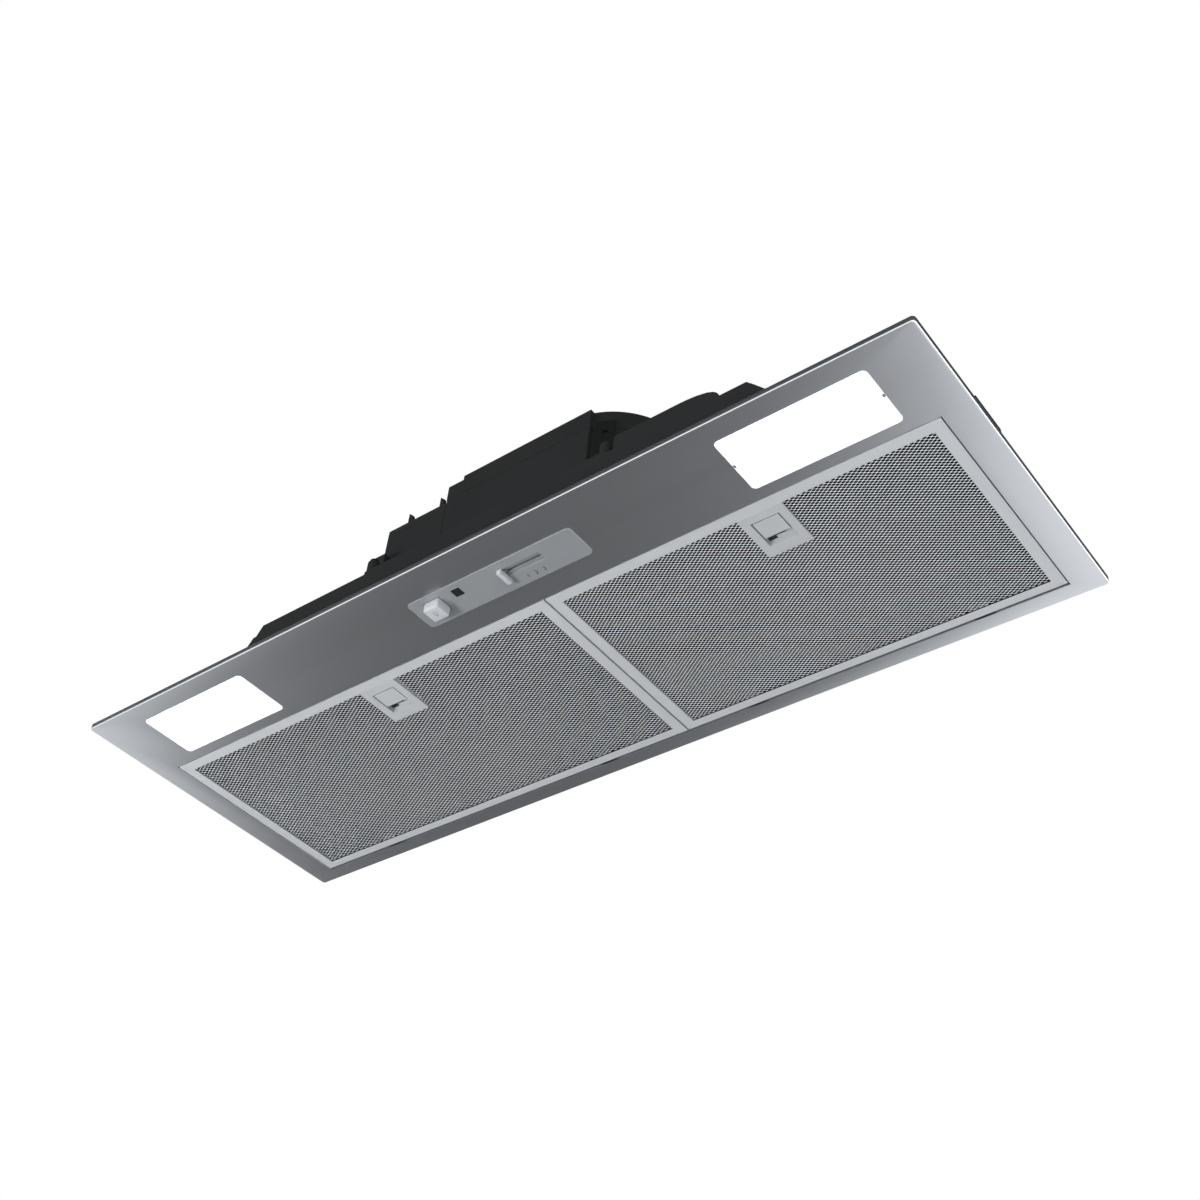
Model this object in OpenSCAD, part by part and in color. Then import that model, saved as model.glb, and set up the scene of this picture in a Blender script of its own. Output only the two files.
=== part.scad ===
// Built-in cooker hood insert, seen from below in use: a steel face plate that
// covers a cut-out in a cabinet floor, two grease filters, two lamps, a control
// strip, and a plastic air box with a centrifugal blower on top.
// Origin: centre of the rim's upper edge, the plane that meets the cabinet.
// +X is the user's right, +Y is towards the wall, +Z is up into the cabinet.

/* [Face plate] */
// Width of the face plate, left to right
plate_w = 800; // [780:1:820]
// Depth of the face plate, front to back
plate_d = 290; // [286:1:296]
// Thickness of the sheet steel
sheet_t = 1; // [0.8:0.1:1.2]
// Height of the folded rim
rim_h = 5; // [4:0.5:7]
// Radius of the plate's corners
plate_r = 3; // [2:0.5:6]
// Plate edge to filters, left and right
side_border = 25; // [22:0.5:27]
// Plate edge to filters, front
front_border = 81; // [78:0.5:81]
// Plate edge to filters, rear
rear_border = 15; // [13:0.5:17]
// Height of the folded edge round the filter opening
flange_h = 16; // [15:0.5:17]

/* [Filters] */
// Where the two filters meet, from the middle of the plate
split_x = 40; // [-60:1:60]
// Gap between the two filters
split_gap = 1.2; // [0.8:0.1:2]
// Gap between a filter and the plate
filter_gap = 0.8; // [0.6:0.1:1.2]
// Thickness of a filter
frame_t = 9; // [8.6:0.1:9.2]
// Width of a filter's border
frame_border = 9.3; // [9:0.1:10.5]
// Thickness of the frame's folded sheet
frame_skin = 1; // [0.8:0.1:1.1]
// Radius of the frame's lower rear edge
frame_edge_r = 2; // [1.8:0.1:2.4]
// Thickness of the outer mesh sheets
mesh_t = 0.6; // [0.4:0.1:0.6]
// Mesh openings along a filter, as drawn
mesh_columns = 16; // [8:1:16]
// Mesh openings across a filter, as drawn
mesh_rows = 9; // [5:1:9]
// Width of the web between mesh openings
mesh_web = 4; // [3:0.5:6]
// Radius of the pivot pins at the rear
pin_r = 1.5; // [1.3:0.1:1.6]
// Rear edge of a filter to its pivot pins
pin_inset = 6; // [5.8:0.1:6.2]
// Height of the pivot pins over the plate's face
pin_z = 4.2; // [4.2:0.1:4.4]

/* [Latches] */
// Width of the latch plate
latch_w = 37.5; // [34:0.5:42]
// Depth of the latch plate
latch_d = 44; // [42:0.5:46]
// Width of the sliding flap
flap_w = 23; // [20:0.5:25]
// Depth of the sliding flap
flap_d = 18.5; // [17:0.5:19]
// How far the flap slides
latch_travel = 7; // [5:0.5:7.5]
// Width of the latch tongue
tongue_w = 10; // [8:0.5:11]
// How far the tongue reaches past the filter
tongue_reach = 3; // [2.4:0.1:3.2]

/* [Lamps] */
// Width of a lamp lens
lens_w = 118; // [112:1:124]
// Depth of a lamp lens
lens_d = 52; // [48:0.5:52.5]
// Radius of a lens corner
lens_r = 4; // [3.5:0.5:6]
// Plate's left end to the middle of the left lamp
left_lamp_inset = 110.5; // [90:0.5:130]
// Plate's right end to the middle of the right lamp
right_lamp_inset = 104.5; // [90:0.5:130]
// Front edge of the plate to the middle of the lamps and the controls
row_inset = 44; // [43.5:0.5:44.5]
// Height of a lamp housing over the plate's face
lamp_h = 18; // [14:0.5:18]

/* [Controls] */
// Width of the control strip
bezel_w = 159; // [150:1:170]
// Depth of the control strip
bezel_d = 31; // [29:0.5:33]
// Radius of the strip's corners
bezel_r = 4; // [3.5:0.5:6]
// Middle of the control strip from the middle of the plate
bezel_x = 25; // [10:0.5:40]
// How far the strip stands out of the plate
bezel_proud = 0.8; // [0.4:0.1:1.2]
// Width of the lamp button
button_w = 15.5; // [13:0.5:16]
// Depth of the lamp button
button_d = 15; // [14:0.5:16]
// How far the lamp button stands out
button_proud = 8; // [6:0.5:9]
// How far the lamp button travels
button_travel = 3; // [2:0.5:3.5]
// Width of the fan speed knob
knob_w = 4.5; // [4:0.5:6]
// Depth of the fan speed knob
knob_d = 15; // [12:0.5:17]
// How far the fan speed knob stands out
knob_proud = 4.6; // [4:0.1:6]
// How far the fan speed knob travels
knob_travel = 34; // [28:1:35]
// Depth of the knob's slot
slot_d = 8.2; // [7:0.1:9]
// Side of the square indicator window
window_w = 8; // [6:0.5:8.5]

/* [Air box] */
// Thickness of the air box walls
box_wall = 2; // [1.6:0.1:2.4]
// Height of the air box at its ends, over the plate's face
pan_h = 22; // [21.5:0.5:23]
// Height of the air box in the middle, over the plate's face
hump_h = 41; // [38:0.5:44]
// Front edge of the plate to the front of the air box
box_inset = 14; // [13.5:0.5:14.5]
// Left foot of the raised middle
hump_left = -227; // [-235:1:-218]
// Right foot of the raised middle
hump_right = 285; // [278:1:292]

/* [Blower] */
// Blower axis from the middle of the plate
blower_x = 62; // [61:0.5:63]
// Half the depth of the blower casing
casing_half_d = 103; // [102:0.5:104]
// Radius of the casing's round corners
casing_r = 67; // [64:0.5:70]
// Thickness of the casing walls
casing_wall = 2.5; // [2:0.1:3]
// Height of the cover's side, from its joint with the casing to its top
cover_side = 20; // [18:0.5:21]
// Height of the top of the cover, over the plate's face
cover_h = 141; // [139:0.5:143]
// Outer radius of the fan wheel
wheel_r = 75; // [70:0.5:76]
// Number of fan blades
blade_count = 36; // [24:1:40]
// Radius of the fan shaft
shaft_r = 3; // [2.5:0.5:4]
// Radius of the motor can
motor_r = 45; // [40:0.5:46]
// Height of the motor over the cover
motor_rise = 32; // [26:0.5:34]

/* [Outlet] */
// Outer radius of the duct collar
collar_r = 60; // [58:0.5:61]
// Thickness of the collar wall
collar_wall = 2; // [1.6:0.1:2.4]
// Height of the collar over the cover
collar_h = 35; // [32:0.5:45]
// Middle of the collar, left to right
collar_x = -42; // [-44:0.5:-40]
// Middle of the collar, front to back
collar_y = 38; // [36:0.5:40]
// Height of the flap pin over the cover
flap_pin_h = 15; // [13:0.5:17]
// Radius of the flap pin
flap_pin_r = 1.5; // [1.2:0.1:1.8]
// Thickness of a non-return flap
flap_t = 1; // [0.8:0.1:1.2]

/* [Electrics] */
// Width of the terminal box
terminal_w = 64; // [60:0.5:66]
// Depth of the terminal box
terminal_d = 76; // [72:0.5:78]
// Height of the terminal box with its lid, over the plate's face
terminal_h = 119; // [116:0.5:120]
// Radius of the mains cable that the gland takes
cable_r = 4; // [3:0.5:5]
// Left end of the lamp driver
driver_left = 150; // [148:1:155]
// Width of the lamp driver
driver_w = 91; // [85:1:95]
// Depth of the lamp driver
driver_d = 54; // [50:1:58]
// Height of the lamp driver
driver_h = 16.6; // [15:0.1:18]

/* [Side clips] */
// Width of a side spring clip
clip_w = 38; // [34:0.5:42]
// Middle of a side clip, front to back
clip_y = -3; // [-10:1:10]
// Height of a side clip over the plate's face
clip_h = 56.5; // [52:0.5:60]

/* [Hidden] */
$fn = 96;

// Overrun of every cut past the solid that it cuts
cut = 1;
// Clearance round a piece that sits in an opening
fit_gap = 0.3;
// Clearance of a running fit on a radius
run_gap = 0.05;
// Clearance of a screw or rivet in its hole on a radius
screw_gap = 0.1;

// Face plate
plate_x = [-plate_w / 2, plate_w / 2];
plate_y = [-plate_d / 2, plate_d / 2];
field_x = grow(plate_x, -side_border);
field_y = [plate_y[0] + front_border, plate_y[1] - rear_border];
opening_x = grow(field_x, filter_gap);
opening_y = grow(field_y, filter_gap);
row_y = plate_y[0] + row_inset;

// Filters
left_x = [field_x[0], split_x - split_gap / 2];
right_x = [split_x + split_gap / 2, field_x[1]];
frame_inset = 3;
mesh_z = frame_skin;
backing_z = frame_t - frame_skin - mesh_t;
pivot_shares = [0.2, 0.8];
pin_y = field_y[1] - pin_inset;
notch_half = 8;
lug_half = 12;
hook_half = 7.5;
hook_t = 1.2;
hook_pad = 2;
hook_foot = 8;

// Latches
latch_share = 0.557;
latch_rim = 1.5;
latch_y0 = field_y[0] + frame_border + fit_gap;
pocket_inset = 7.8;
flap_y = [latch_y0 + pocket_inset, latch_y0 + pocket_inset + flap_d];
flap_z = [0.3, 3.7];
pocket_top = 4;
floor_t = 1;
cavity_top = frame_t - frame_skin;
latch_roof = 0.6;
neck_w = 7.4;
neck_inset = 4;
neck_d = 11;
carriage_w = 15.4;
carriage_inset = 1.5;
carriage_gap = 0.2;
tongue_z = [5.6, 6.6];
tongue_root = 6;
spring_r = 1.2;
spring_wire = 0.5;
latch_body_w = 30;
spring_room = 4.5;
spring_seat = flap_y[1] + latch_travel + spring_room - latch_rim;
tongue_end = flap_y[0] - carriage_inset + tongue_root;

// Lamps
lens_t = 2;
lens_proud = 0.3;
lens_skirt = 4;
lens_skirt_inset = 1.5;
lens_notch = [1.5, 3];
lamp_wall = 1.4;
board_t = 1.6;
chip = [3.2, 2.8, 0.7];
chip_columns = 6;
chip_rows = 2;
left_lamp_x = plate_x[0] + left_lamp_inset;
right_lamp_x = plate_x[1] - right_lamp_inset;

// Controls
bezel_lap = 1.5;
bezel_span_x = [bezel_x - bezel_w / 2, bezel_x + bezel_w / 2];
bezel_span_y = [row_y - bezel_d / 2, row_y + bezel_d / 2];
bezel_skirt = 3;
bezel_t = 0.8;
button_inset = 20.8;
button_x = bezel_span_x[0] + button_inset;
button_shift = -2.1;
button_y = row_y + button_shift;
button_foot = 1;
button_stem_r = 2.5;
button_taper = 0.3;
window_inset = 44.6;
window_x = bezel_span_x[0] + window_inset;
window_shift = -5.9;
slot_inset = 85.2;
slot_x = [bezel_span_x[0] + slot_inset, bezel_span_x[0] + slot_inset + knob_w + knob_travel + fit_gap * 2];
slot_y = row_y - 3;
slot_depth = 1.5;
slit_d = 2.2;
slot_back = slot_depth - bezel_proud + bezel_t;
knob_y = row_y - 1.8;
knob_stem_w = 3;
knob_rail = 1;
control_wall = 1.5;
control_h = 24;
control_board_z = 15;
control_board_t = 1.6;
board_span_x = grow(bezel_span_x, -2 * bezel_lap - control_wall);

// Air box
box_x = grow(opening_x, sheet_t + box_wall);
box_y = [plate_y[0] + box_inset, opening_y[1] + sheet_t + box_wall];
bulkhead_y = [opening_y[0] - sheet_t - box_wall, opening_y[0] - sheet_t];
hump_back = 112;
hump_slope_left = 17;
hump_slope_right = 19;
hump_left_share = [[0, 0], [0.47, 0.55], [0.65, 0.55], [1, 1]];
hump_right_share = [[1, 1], [0.68, 0.7], [0, 0]];
rib_h = 1.5;
rib_w = 2;
rib_shares = [0.06, 0.13, 0.92, 0.97];

// Rivets
rivet_r = 1.6;
rivet_head_r = 2.7;
rivet_head_t = 0.8;
rivet_z = 12.6;
rear_rivet_shares = [0.05, 0.35, 0.65, 0.95];
end_rivet_shares = [0.2, 0.85];

// Blower
joint_h = cover_h - cover_side;
base_t = 6;
base_apron = 26;
base_z = hump_h;
casing_z = hump_h + base_t;
base_x = [-100, 145];
base_y = [-casing_half_d - base_apron, casing_half_d + 5];
base_r = 4;
base_ear = 8;
boss_r = 5;
boss_h = 11;
boss_inset = 5.5;
screw_r = 1.9;
screw_head_r = 3.7;
screw_head_t = 3;
corner_x = 78;
cheek_x = 102;
main_x = -46;
outlet_x = -107;
terminal_front = -casing_half_d;
outlet_y = terminal_front + terminal_d;
throat_r = 57;
bell_wall = 2.5;
bell_h = 11;
step_w = 16;
step_h = 4.5;
wheel_gap = 2;
shroud_t = 2;
wheel_z = casing_z + bell_h;
disc_z = joint_h - 9;
disc_t = 2;
blade_t = 1;
blade_depth = 13;
blade_sweep = 16;
blade_inset = 0.6;
blade_steps = 4;
hub_r = 11;
hub_h = 18;
nut_r = 6;
nut_t = 6;
motor_z = joint_h + 5;
motor_neck_r = 11;
motor_neck_h = 8;
motor_ear_r = 6;
motor_ear_t = 2.5;
motor_dome_t = 6;
motor_screw_ring = 50.5;
motor_screw_angles = [100, 220, 340];
motor_vents = 12;
motor_vent = [4, 14];
grommet_r = 3.4;
grommet_t = 2;
motor_hole_gap = 1;
cover_rib_w = 2;
cover_rib_h = 1.5;
cover_rib_angles = [-60, 10, 40, 70];
clip_strap = [14, 2, 44];
clip_strap_z = joint_h - 37;
clip_slot = [4, 22];
clip_turn = 30;

// Outlet
collar_z = cover_h;
collar_flange_r = collar_r + 3;
collar_flange_t = 2.5;
collar_in_r = collar_r - collar_wall;
pin_high = cover_h + flap_pin_h;
ledge_w = 3.5;
ledge_t = 1.5;
flap_rim_gap = 0.8;
knuckle_r = 3;
knuckle_room = 0.4;
knuckle_l = 24;
knuckle_pitch = 25;

// Electrics
terminal_x = [main_x - terminal_w, main_x];
terminal_y = [terminal_front, terminal_front + terminal_d];
terminal_wall = 2;
terminal_lid_t = 3;
foot_w = 13;
foot_d = 10;
foot_h = 33;
hook_fin_h = 10.5;
hook_fin_t = 3;
hook_fins = [21, 56];
gland_z = casing_z + 38;
gland_y = -65;
gland_r = 7;
gland_l = 12;
gland_nut_r = 10;
gland_nut_t = 4;
block_size = [22, 30, 14];
capacitor_r = 13;
capacitor_l = 46;
driver_nose = 34;
driver_nose_share = [
    [1, 0], [1, 0.3], [0.97, 0.48], [0.88, 0.64], [0.72, 0.8], [0.45, 0.93], [0.2, 0.985], [0, 1]
];

// Side clips
clip_t = 1;
clip_foot = 7;
clip_nose = 6;
clip_nose_h = 31;
clip_tip = 4;
clip_rivet_shares = [-0.28, 0.28];

// The same two limits, moved outward by g
function grow(s, g) = [s[0] - g, s[1] + g];
// A place between two limits, as a share of the way
function at(s, share) = s[0] + share * (s[1] - s[0]);
// Two limits in rising order
function ordered(a, b) = [min(a, b), max(a, b)];
// Two limits about a middle
function about(middle, width) = [middle - width / 2, middle + width / 2];

// Pieces are drawn over the plate's face and moved so that the rim's edge is at zero
module on_face() translate([0, 0, -rim_h]) children();

// Box between two limits on each axis
module span(x, y, z) {
    translate([x[0], y[0], z[0]])
        cube([x[1] - x[0], y[1] - y[0], z[1] - z[0]]);
}

// Flat rectangle with round corners
module soft_rect(x, y, r) {
    translate([x[0] + r, y[0]])
        square([x[1] - x[0] - 2 * r, y[1] - y[0]]);
    translate([x[0], y[0] + r])
        square([x[1] - x[0], y[1] - y[0] - 2 * r]);
    for (cx = grow(x, -r), cy = grow(y, -r))
        translate([cx, cy]) circle(r);
}

// Slab with round corners
module soft_span(x, y, z, r) {
    translate([0, 0, z[0]])
        linear_extrude(z[1] - z[0])
            soft_rect(x, y, r);
}

// Upright cylinder between two heights
module post(x, y, z, r) {
    translate([x, y, z[0]]) cylinder(h = z[1] - z[0], r = r);
}

// Cylinder along X
module bar_x(x, y, z, r) {
    translate([x[0], y, z]) rotate([0, 90, 0]) cylinder(h = x[1] - x[0], r = r);
}

// Cylinder along Y
module bar_y(x, y, z, r) {
    translate([x, y[1], z]) rotate([90, 0, 0]) cylinder(h = y[1] - y[0], r = r);
}

// A profile drawn across X and Z, drawn out along Y
module along_y(y) {
    translate([0, y[1], 0]) rotate([90, 0, 0]) linear_extrude(y[1] - y[0]) children();
}

// A profile drawn across Y and Z, drawn out along X
module along_x(x) {
    translate([x[0], 0, 0]) rotate([90, 0, 90]) linear_extrude(x[1] - x[0]) children();
}

// The folded steel plate with its openings
module face_plate() {
    color("silver") on_face() difference() {
        union() {
            difference() {
                soft_span(plate_x, plate_y, [0, rim_h], plate_r);
                soft_span(grow(plate_x, -sheet_t), grow(plate_y, -sheet_t),
                          [sheet_t, rim_h + cut], plate_r - sheet_t);
            }
            span(grow(opening_x, sheet_t), grow(opening_y, sheet_t), [0, flange_h]);
        }
        span(opening_x, opening_y, [-cut, flange_h + cut]);
        for (x = [left_lamp_x, right_lamp_x])
            soft_span(about(x, lens_w + 2 * fit_gap), about(row_y, lens_d + 2 * fit_gap),
                      [-cut, sheet_t + cut], lens_r);
        soft_span(grow(bezel_span_x, -bezel_lap), grow(bezel_span_y, -bezel_lap),
                  [-cut, sheet_t + cut], bezel_r - bezel_lap);
        tongue_slots();
        rivet_row(rivet_r + screw_gap, cut, 0);
    }
}

// Slots that the latch tongues reach into
module tongue_slots() {
    for (x = [left_x, right_x])
        span(about(at(x, latch_share), tongue_w + 4 * fit_gap),
             [bulkhead_y[0] - cut, opening_y[0] + cut],
             grow(tongue_z, 2 * fit_gap));
}

// Rivets that join the opening's folded edge to the air box
module rivet_row(r, over, head) {
    for (s = rear_rivet_shares) {
        x = at(field_x, s);
        bar_y(x, [opening_y[1] - over, box_y[1] + over], rivet_z, r);
        if (head > 0) {
            bar_y(x, [opening_y[1] - head, opening_y[1]], rivet_z, rivet_head_r);
            bar_y(x, [box_y[1], box_y[1] + head], rivet_z, rivet_head_r);
        }
    }
    for (s = end_rivet_shares, side = [0, 1]) {
        y = at(field_y, s);
        inner = opening_x[side];
        outer = box_x[side];
        away = side * 2 - 1;
        bar_x(ordered(inner - away * over, outer + away * over), y, rivet_z, r);
        if (head > 0) {
            bar_x(ordered(inner, inner - away * head), y, rivet_z, rivet_head_r);
            bar_x(ordered(outer, outer + away * head), y, rivet_z, rivet_head_r);
        }
    }
}

module plate_rivets() {
    color("gainsboro") on_face() rivet_row(rivet_r, 0, rivet_head_t);
}

// Outline of the raised middle, drawn in by t
module hump_profile(t) {
    base = pan_h - box_wall;
    rise = hump_h - t - base;
    polygon(concat(
        [for (s = hump_left_share) [hump_left + t + s[0] * hump_slope_left, base + s[1] * rise]],
        [for (s = hump_right_share) [hump_right - t - s[0] * hump_slope_right, base + s[1] * rise]]
    ));
}

// The plastic box over the plate, open below, with a bulkhead behind the lamps
module air_box() {
    inner_x = grow(box_x, -box_wall);
    room_z = [sheet_t - cut, pan_h - box_wall];
    front_y = [box_y[0] + box_wall, bulkhead_y[0]];
    rear_y = [bulkhead_y[1], box_y[1] - box_wall];
    color("#2b2d2e") on_face() difference() {
        union() {
            span(box_x, box_y, [sheet_t, pan_h]);
            along_y([box_y[0], hump_back]) hump_profile(0);
            for (s = rib_shares)
                span(about(at(box_x, s), rib_w), grow(box_y, -box_inset), [pan_h - cut, pan_h + rib_h]);
        }
        span(inner_x, front_y, room_z);
        span(inner_x, rear_y, room_z);
        along_y(front_y) hump_profile(box_wall);
        along_y([rear_y[0], hump_back - box_wall]) hump_profile(box_wall);
        post(blower_x, 0, [hump_h - box_wall - cut, hump_h + cut], throat_r + bell_wall);
        tongue_slots();
        rivet_row(rivet_r + screw_gap, cut, 0);
        clip_rivet_set(screw_gap, cut, false);
        screw_places() post(0, 0, [hump_h - box_wall - cut, hump_h + cut], screw_r + screw_gap);
    }
}

// Spring hooks under the air box that carry the filters' pivot pins
module filter_hooks() {
    hook_out = pin_r + run_gap + hook_t;
    ceiling = pan_h - box_wall;
    color("darkgray") on_face()
        for (x = [left_x, right_x], s = pivot_shares)
            along_x(about(at(x, s), 2 * hook_half)) difference() {
                union() {
                    translate([pin_y, pin_z]) circle(hook_out);
                    translate([pin_y - hook_out, pin_z]) square([hook_t, ceiling - pin_z]);
                    translate([pin_y - hook_out, ceiling - hook_pad]) square([hook_foot, hook_pad]);
                }
                translate([pin_y, pin_z]) circle(pin_r + run_gap);
                translate([pin_y, pin_z]) square(hook_out + cut);
            }
}

// The filter's folded frame: a channel that holds the mesh, with pivot lugs
module filter_frame(x) {
    y = field_y;
    hollow_z = [frame_skin, frame_t - frame_skin];
    color("gainsboro") on_face() difference() {
        union() {
            difference() {
                along_x(x) {
                    translate([y[0], 0]) square([y[1] - y[0] - frame_edge_r, frame_t]);
                    translate([y[0], frame_edge_r]) square([y[1] - y[0], frame_t - frame_edge_r]);
                    translate([y[1] - frame_edge_r, frame_edge_r]) circle(frame_edge_r);
                }
                span(grow(x, -frame_skin), grow(y, -frame_skin - frame_edge_r / 2), hollow_z);
                span(grow(x, -frame_border), grow(y, -frame_border), [-cut, frame_t + cut]);
            }
            for (s = pivot_shares)
                span(about(at(x, s), 2 * lug_half), [y[1] - frame_border, y[1] - frame_skin], hollow_z);
        }
        for (s = pivot_shares) {
            span(about(at(x, s), 2 * notch_half), [y[1] - frame_border - cut, y[1] + cut],
                 [frame_skin, frame_t + cut]);
            bar_x(about(at(x, s), 2 * lug_half + 2 * cut), pin_y, pin_z, pin_r + run_gap);
        }
        span(about(at(x, latch_share), tongue_w + 4 * fit_gap), [y[0] - cut, y[0] + frame_border],
             grow(tongue_z, fit_gap));
    }
}

module filter_pins(x) {
    color("darkgray") on_face()
        for (s = pivot_shares)
            bar_x(about(at(x, s), 2 * lug_half), pin_y, pin_z, pin_r);
}

// Where the latch and the pivot lugs take room from the mesh
module mesh_cuts(x, z) {
    span(about(at(x, latch_share), latch_w + 2 * fit_gap), [field_y[0], latch_y0 + latch_d + fit_gap], z);
    for (s = pivot_shares)
        span(about(at(x, s), 2 * lug_half + 2 * fit_gap),
             [field_y[1] - frame_border - fit_gap, field_y[1]], z);
}

// A sheet of mesh with staggered diamond openings, in rows that start at shift
module mesh_sheet(x, z, shift) {
    mx = grow(x, -frame_inset);
    my = grow(field_y, -frame_inset);
    open_x = grow(x, -frame_border - mesh_web);
    open_y = grow(field_y, -frame_border - mesh_web);
    step_x = (open_x[1] - open_x[0]) / mesh_columns;
    step_y = (open_y[1] - open_y[0]) / mesh_rows;
    gap_x = (step_x - mesh_web) / 2;
    gap_y = (step_y - mesh_web) / 2;
    difference() {
        translate([0, 0, z[0]]) linear_extrude(z[1] - z[0]) difference() {
            translate([mx[0], my[0]]) square([mx[1] - mx[0], my[1] - my[0]]);
            for (row = [0 : mesh_rows - 1], column = [0 : mesh_columns - 1 - (row + shift) % 2])
                translate([open_x[0] + step_x * (column + 0.5 + 0.5 * ((row + shift) % 2)),
                           open_y[0] + step_y * (row + 0.5)])
                    polygon([[-gap_x, 0], [0, -gap_y], [gap_x, 0], [0, gap_y]]);
        }
        mesh_cuts(x, grow(z, cut));
    }
}

module filter_mesh(x) {
    color("lightgray") on_face() mesh_sheet(x, [mesh_z, mesh_z + mesh_t], 0);
}

module filter_core(x) {
    color("gray") on_face() mesh_sheet(x, [mesh_z + mesh_t, backing_z], 1);
}

module filter_backing(x) {
    color("lightgray") on_face() mesh_sheet(x, [backing_z, backing_z + mesh_t], 0);
}

// The latch's fixed plate with its finger pocket, and the slide's channel behind it
module latch_plate(x) {
    c = at(x, latch_share);
    cavity_z = [pocket_top + floor_t, cavity_top - latch_roof];
    color("gainsboro") on_face() difference() {
        union() {
            span(about(c, latch_w), [latch_y0, latch_y0 + latch_d], [0, latch_rim]);
            span(about(c, latch_body_w),
                 [field_y[0] + frame_skin + frame_edge_r / 2, flap_y[1] + latch_travel + spring_room],
                 [frame_skin, cavity_top]);
        }
        span(about(c, flap_w + 2 * fit_gap), [flap_y[0] - fit_gap, flap_y[1] + latch_travel + fit_gap * 2],
             [-cut, pocket_top]);
        span(about(c, carriage_w + 2 * fit_gap), [field_y[0], spring_seat], cavity_z);
        span(about(c, neck_w + 2 * fit_gap),
             [flap_y[0] + neck_inset - fit_gap, flap_y[0] + neck_inset + neck_d + latch_travel + fit_gap],
             [pocket_top - cut, pocket_top + floor_t + cut]);
    }
}

// The sliding flap with its neck and carriage
module latch_flap(x) {
    c = at(x, latch_share);
    carriage_z = [pocket_top + floor_t + carriage_gap, cavity_top - latch_roof - carriage_gap];
    color("whitesmoke") on_face() difference() {
        union() {
            span(about(c, flap_w), flap_y, flap_z);
            span(about(c, neck_w), [flap_y[0] + neck_inset, flap_y[0] + neck_inset + neck_d],
                 [flap_z[1] - flap_z[0], carriage_z[1]]);
            span(about(c, carriage_w), [flap_y[0] - carriage_inset, flap_y[1] - carriage_inset], carriage_z);
        }
        span(about(c, tongue_w + 2 * run_gap), [flap_y[0] - carriage_inset - cut, tongue_end],
             grow(tongue_z, run_gap));
    }
}

// The spring leaf that reaches over the plate's folded edge
module latch_tongue(x) {
    c = at(x, latch_share);
    color("silver") on_face()
        span(about(c, tongue_w), [field_y[0] - tongue_reach, tongue_end], tongue_z);
}

// The spring behind the carriage
module latch_spring(x) {
    c = at(x, latch_share);
    y = [flap_y[1] - carriage_inset, spring_seat];
    z = (pocket_top + floor_t + cavity_top - latch_roof) / 2;
    color("dimgray") on_face() difference() {
        bar_y(c, y, z, spring_r - run_gap);
        bar_y(c, grow(y, cut), z, spring_r - spring_wire);
    }
}

// The frosted lamp cover
module lamp_lens(x) {
    lx = about(x, lens_w);
    ly = about(row_y, lens_d);
    sx = grow(lx, -lens_skirt_inset);
    sy = grow(ly, -lens_skirt_inset);
    skirt_z = [lens_t - lens_proud, lens_t + lens_skirt];
    color("white") on_face() difference() {
        union() {
            soft_span(lx, ly, [-lens_proud, lens_t], lens_r - fit_gap);
            soft_span(sx, sy, skirt_z, lens_r - lens_skirt_inset);
        }
        soft_span(grow(sx, -lens_skirt_inset), grow(sy, -lens_skirt_inset),
                  [lens_t, lens_t + lens_skirt + cut], lens_r - 2 * lens_skirt_inset);
        for (end = lx)
            span(about(end, 2 * lens_notch[0]), about(row_y, lens_notch[1]), [-lens_proud - cut, lens_t / 2]);
    }
}

// The tray that carries the light board over the lens
module lamp_housing(x) {
    hx = grow(about(x, lens_w), fit_gap + lamp_wall);
    hy = grow(about(row_y, lens_d), fit_gap + lamp_wall);
    color("whitesmoke") on_face() difference() {
        span(hx, hy, [sheet_t, lamp_h]);
        span(grow(hx, -lamp_wall), grow(hy, -lamp_wall), [sheet_t + lens_t + lens_skirt, lamp_h - lamp_wall]);
        span(about(x, lens_w - 2 * lens_skirt_inset + 2 * fit_gap),
             about(row_y, lens_d - 2 * lens_skirt_inset + 2 * fit_gap),
             [sheet_t - cut, sheet_t + lens_t + lens_skirt + cut]);
        span(about(x, lens_w + 2 * fit_gap), about(row_y, lens_d + 2 * fit_gap),
             [sheet_t - cut, lens_t + fit_gap]);
    }
}

// The light board with its rows of chips, against the tray's ceiling
module lamp_board(x) {
    top = lamp_h - lamp_wall;
    board_w = lens_w - 2 * lens_skirt_inset;
    board_d = lens_d - 3 * lens_skirt_inset;
    color("white") on_face() {
        span(about(x, board_w), about(row_y, board_d), [top - board_t, top]);
        for (i = [0 : chip_columns - 1], j = [0 : chip_rows - 1])
            span(about(x + board_w * ((i + 0.5) / chip_columns - 0.5), chip[0]),
                 about(row_y + board_d * ((j + 0.5) / chip_rows - 0.5), chip[1]),
                 [top - board_t - chip[2], top - board_t]);
    }
}

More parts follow.
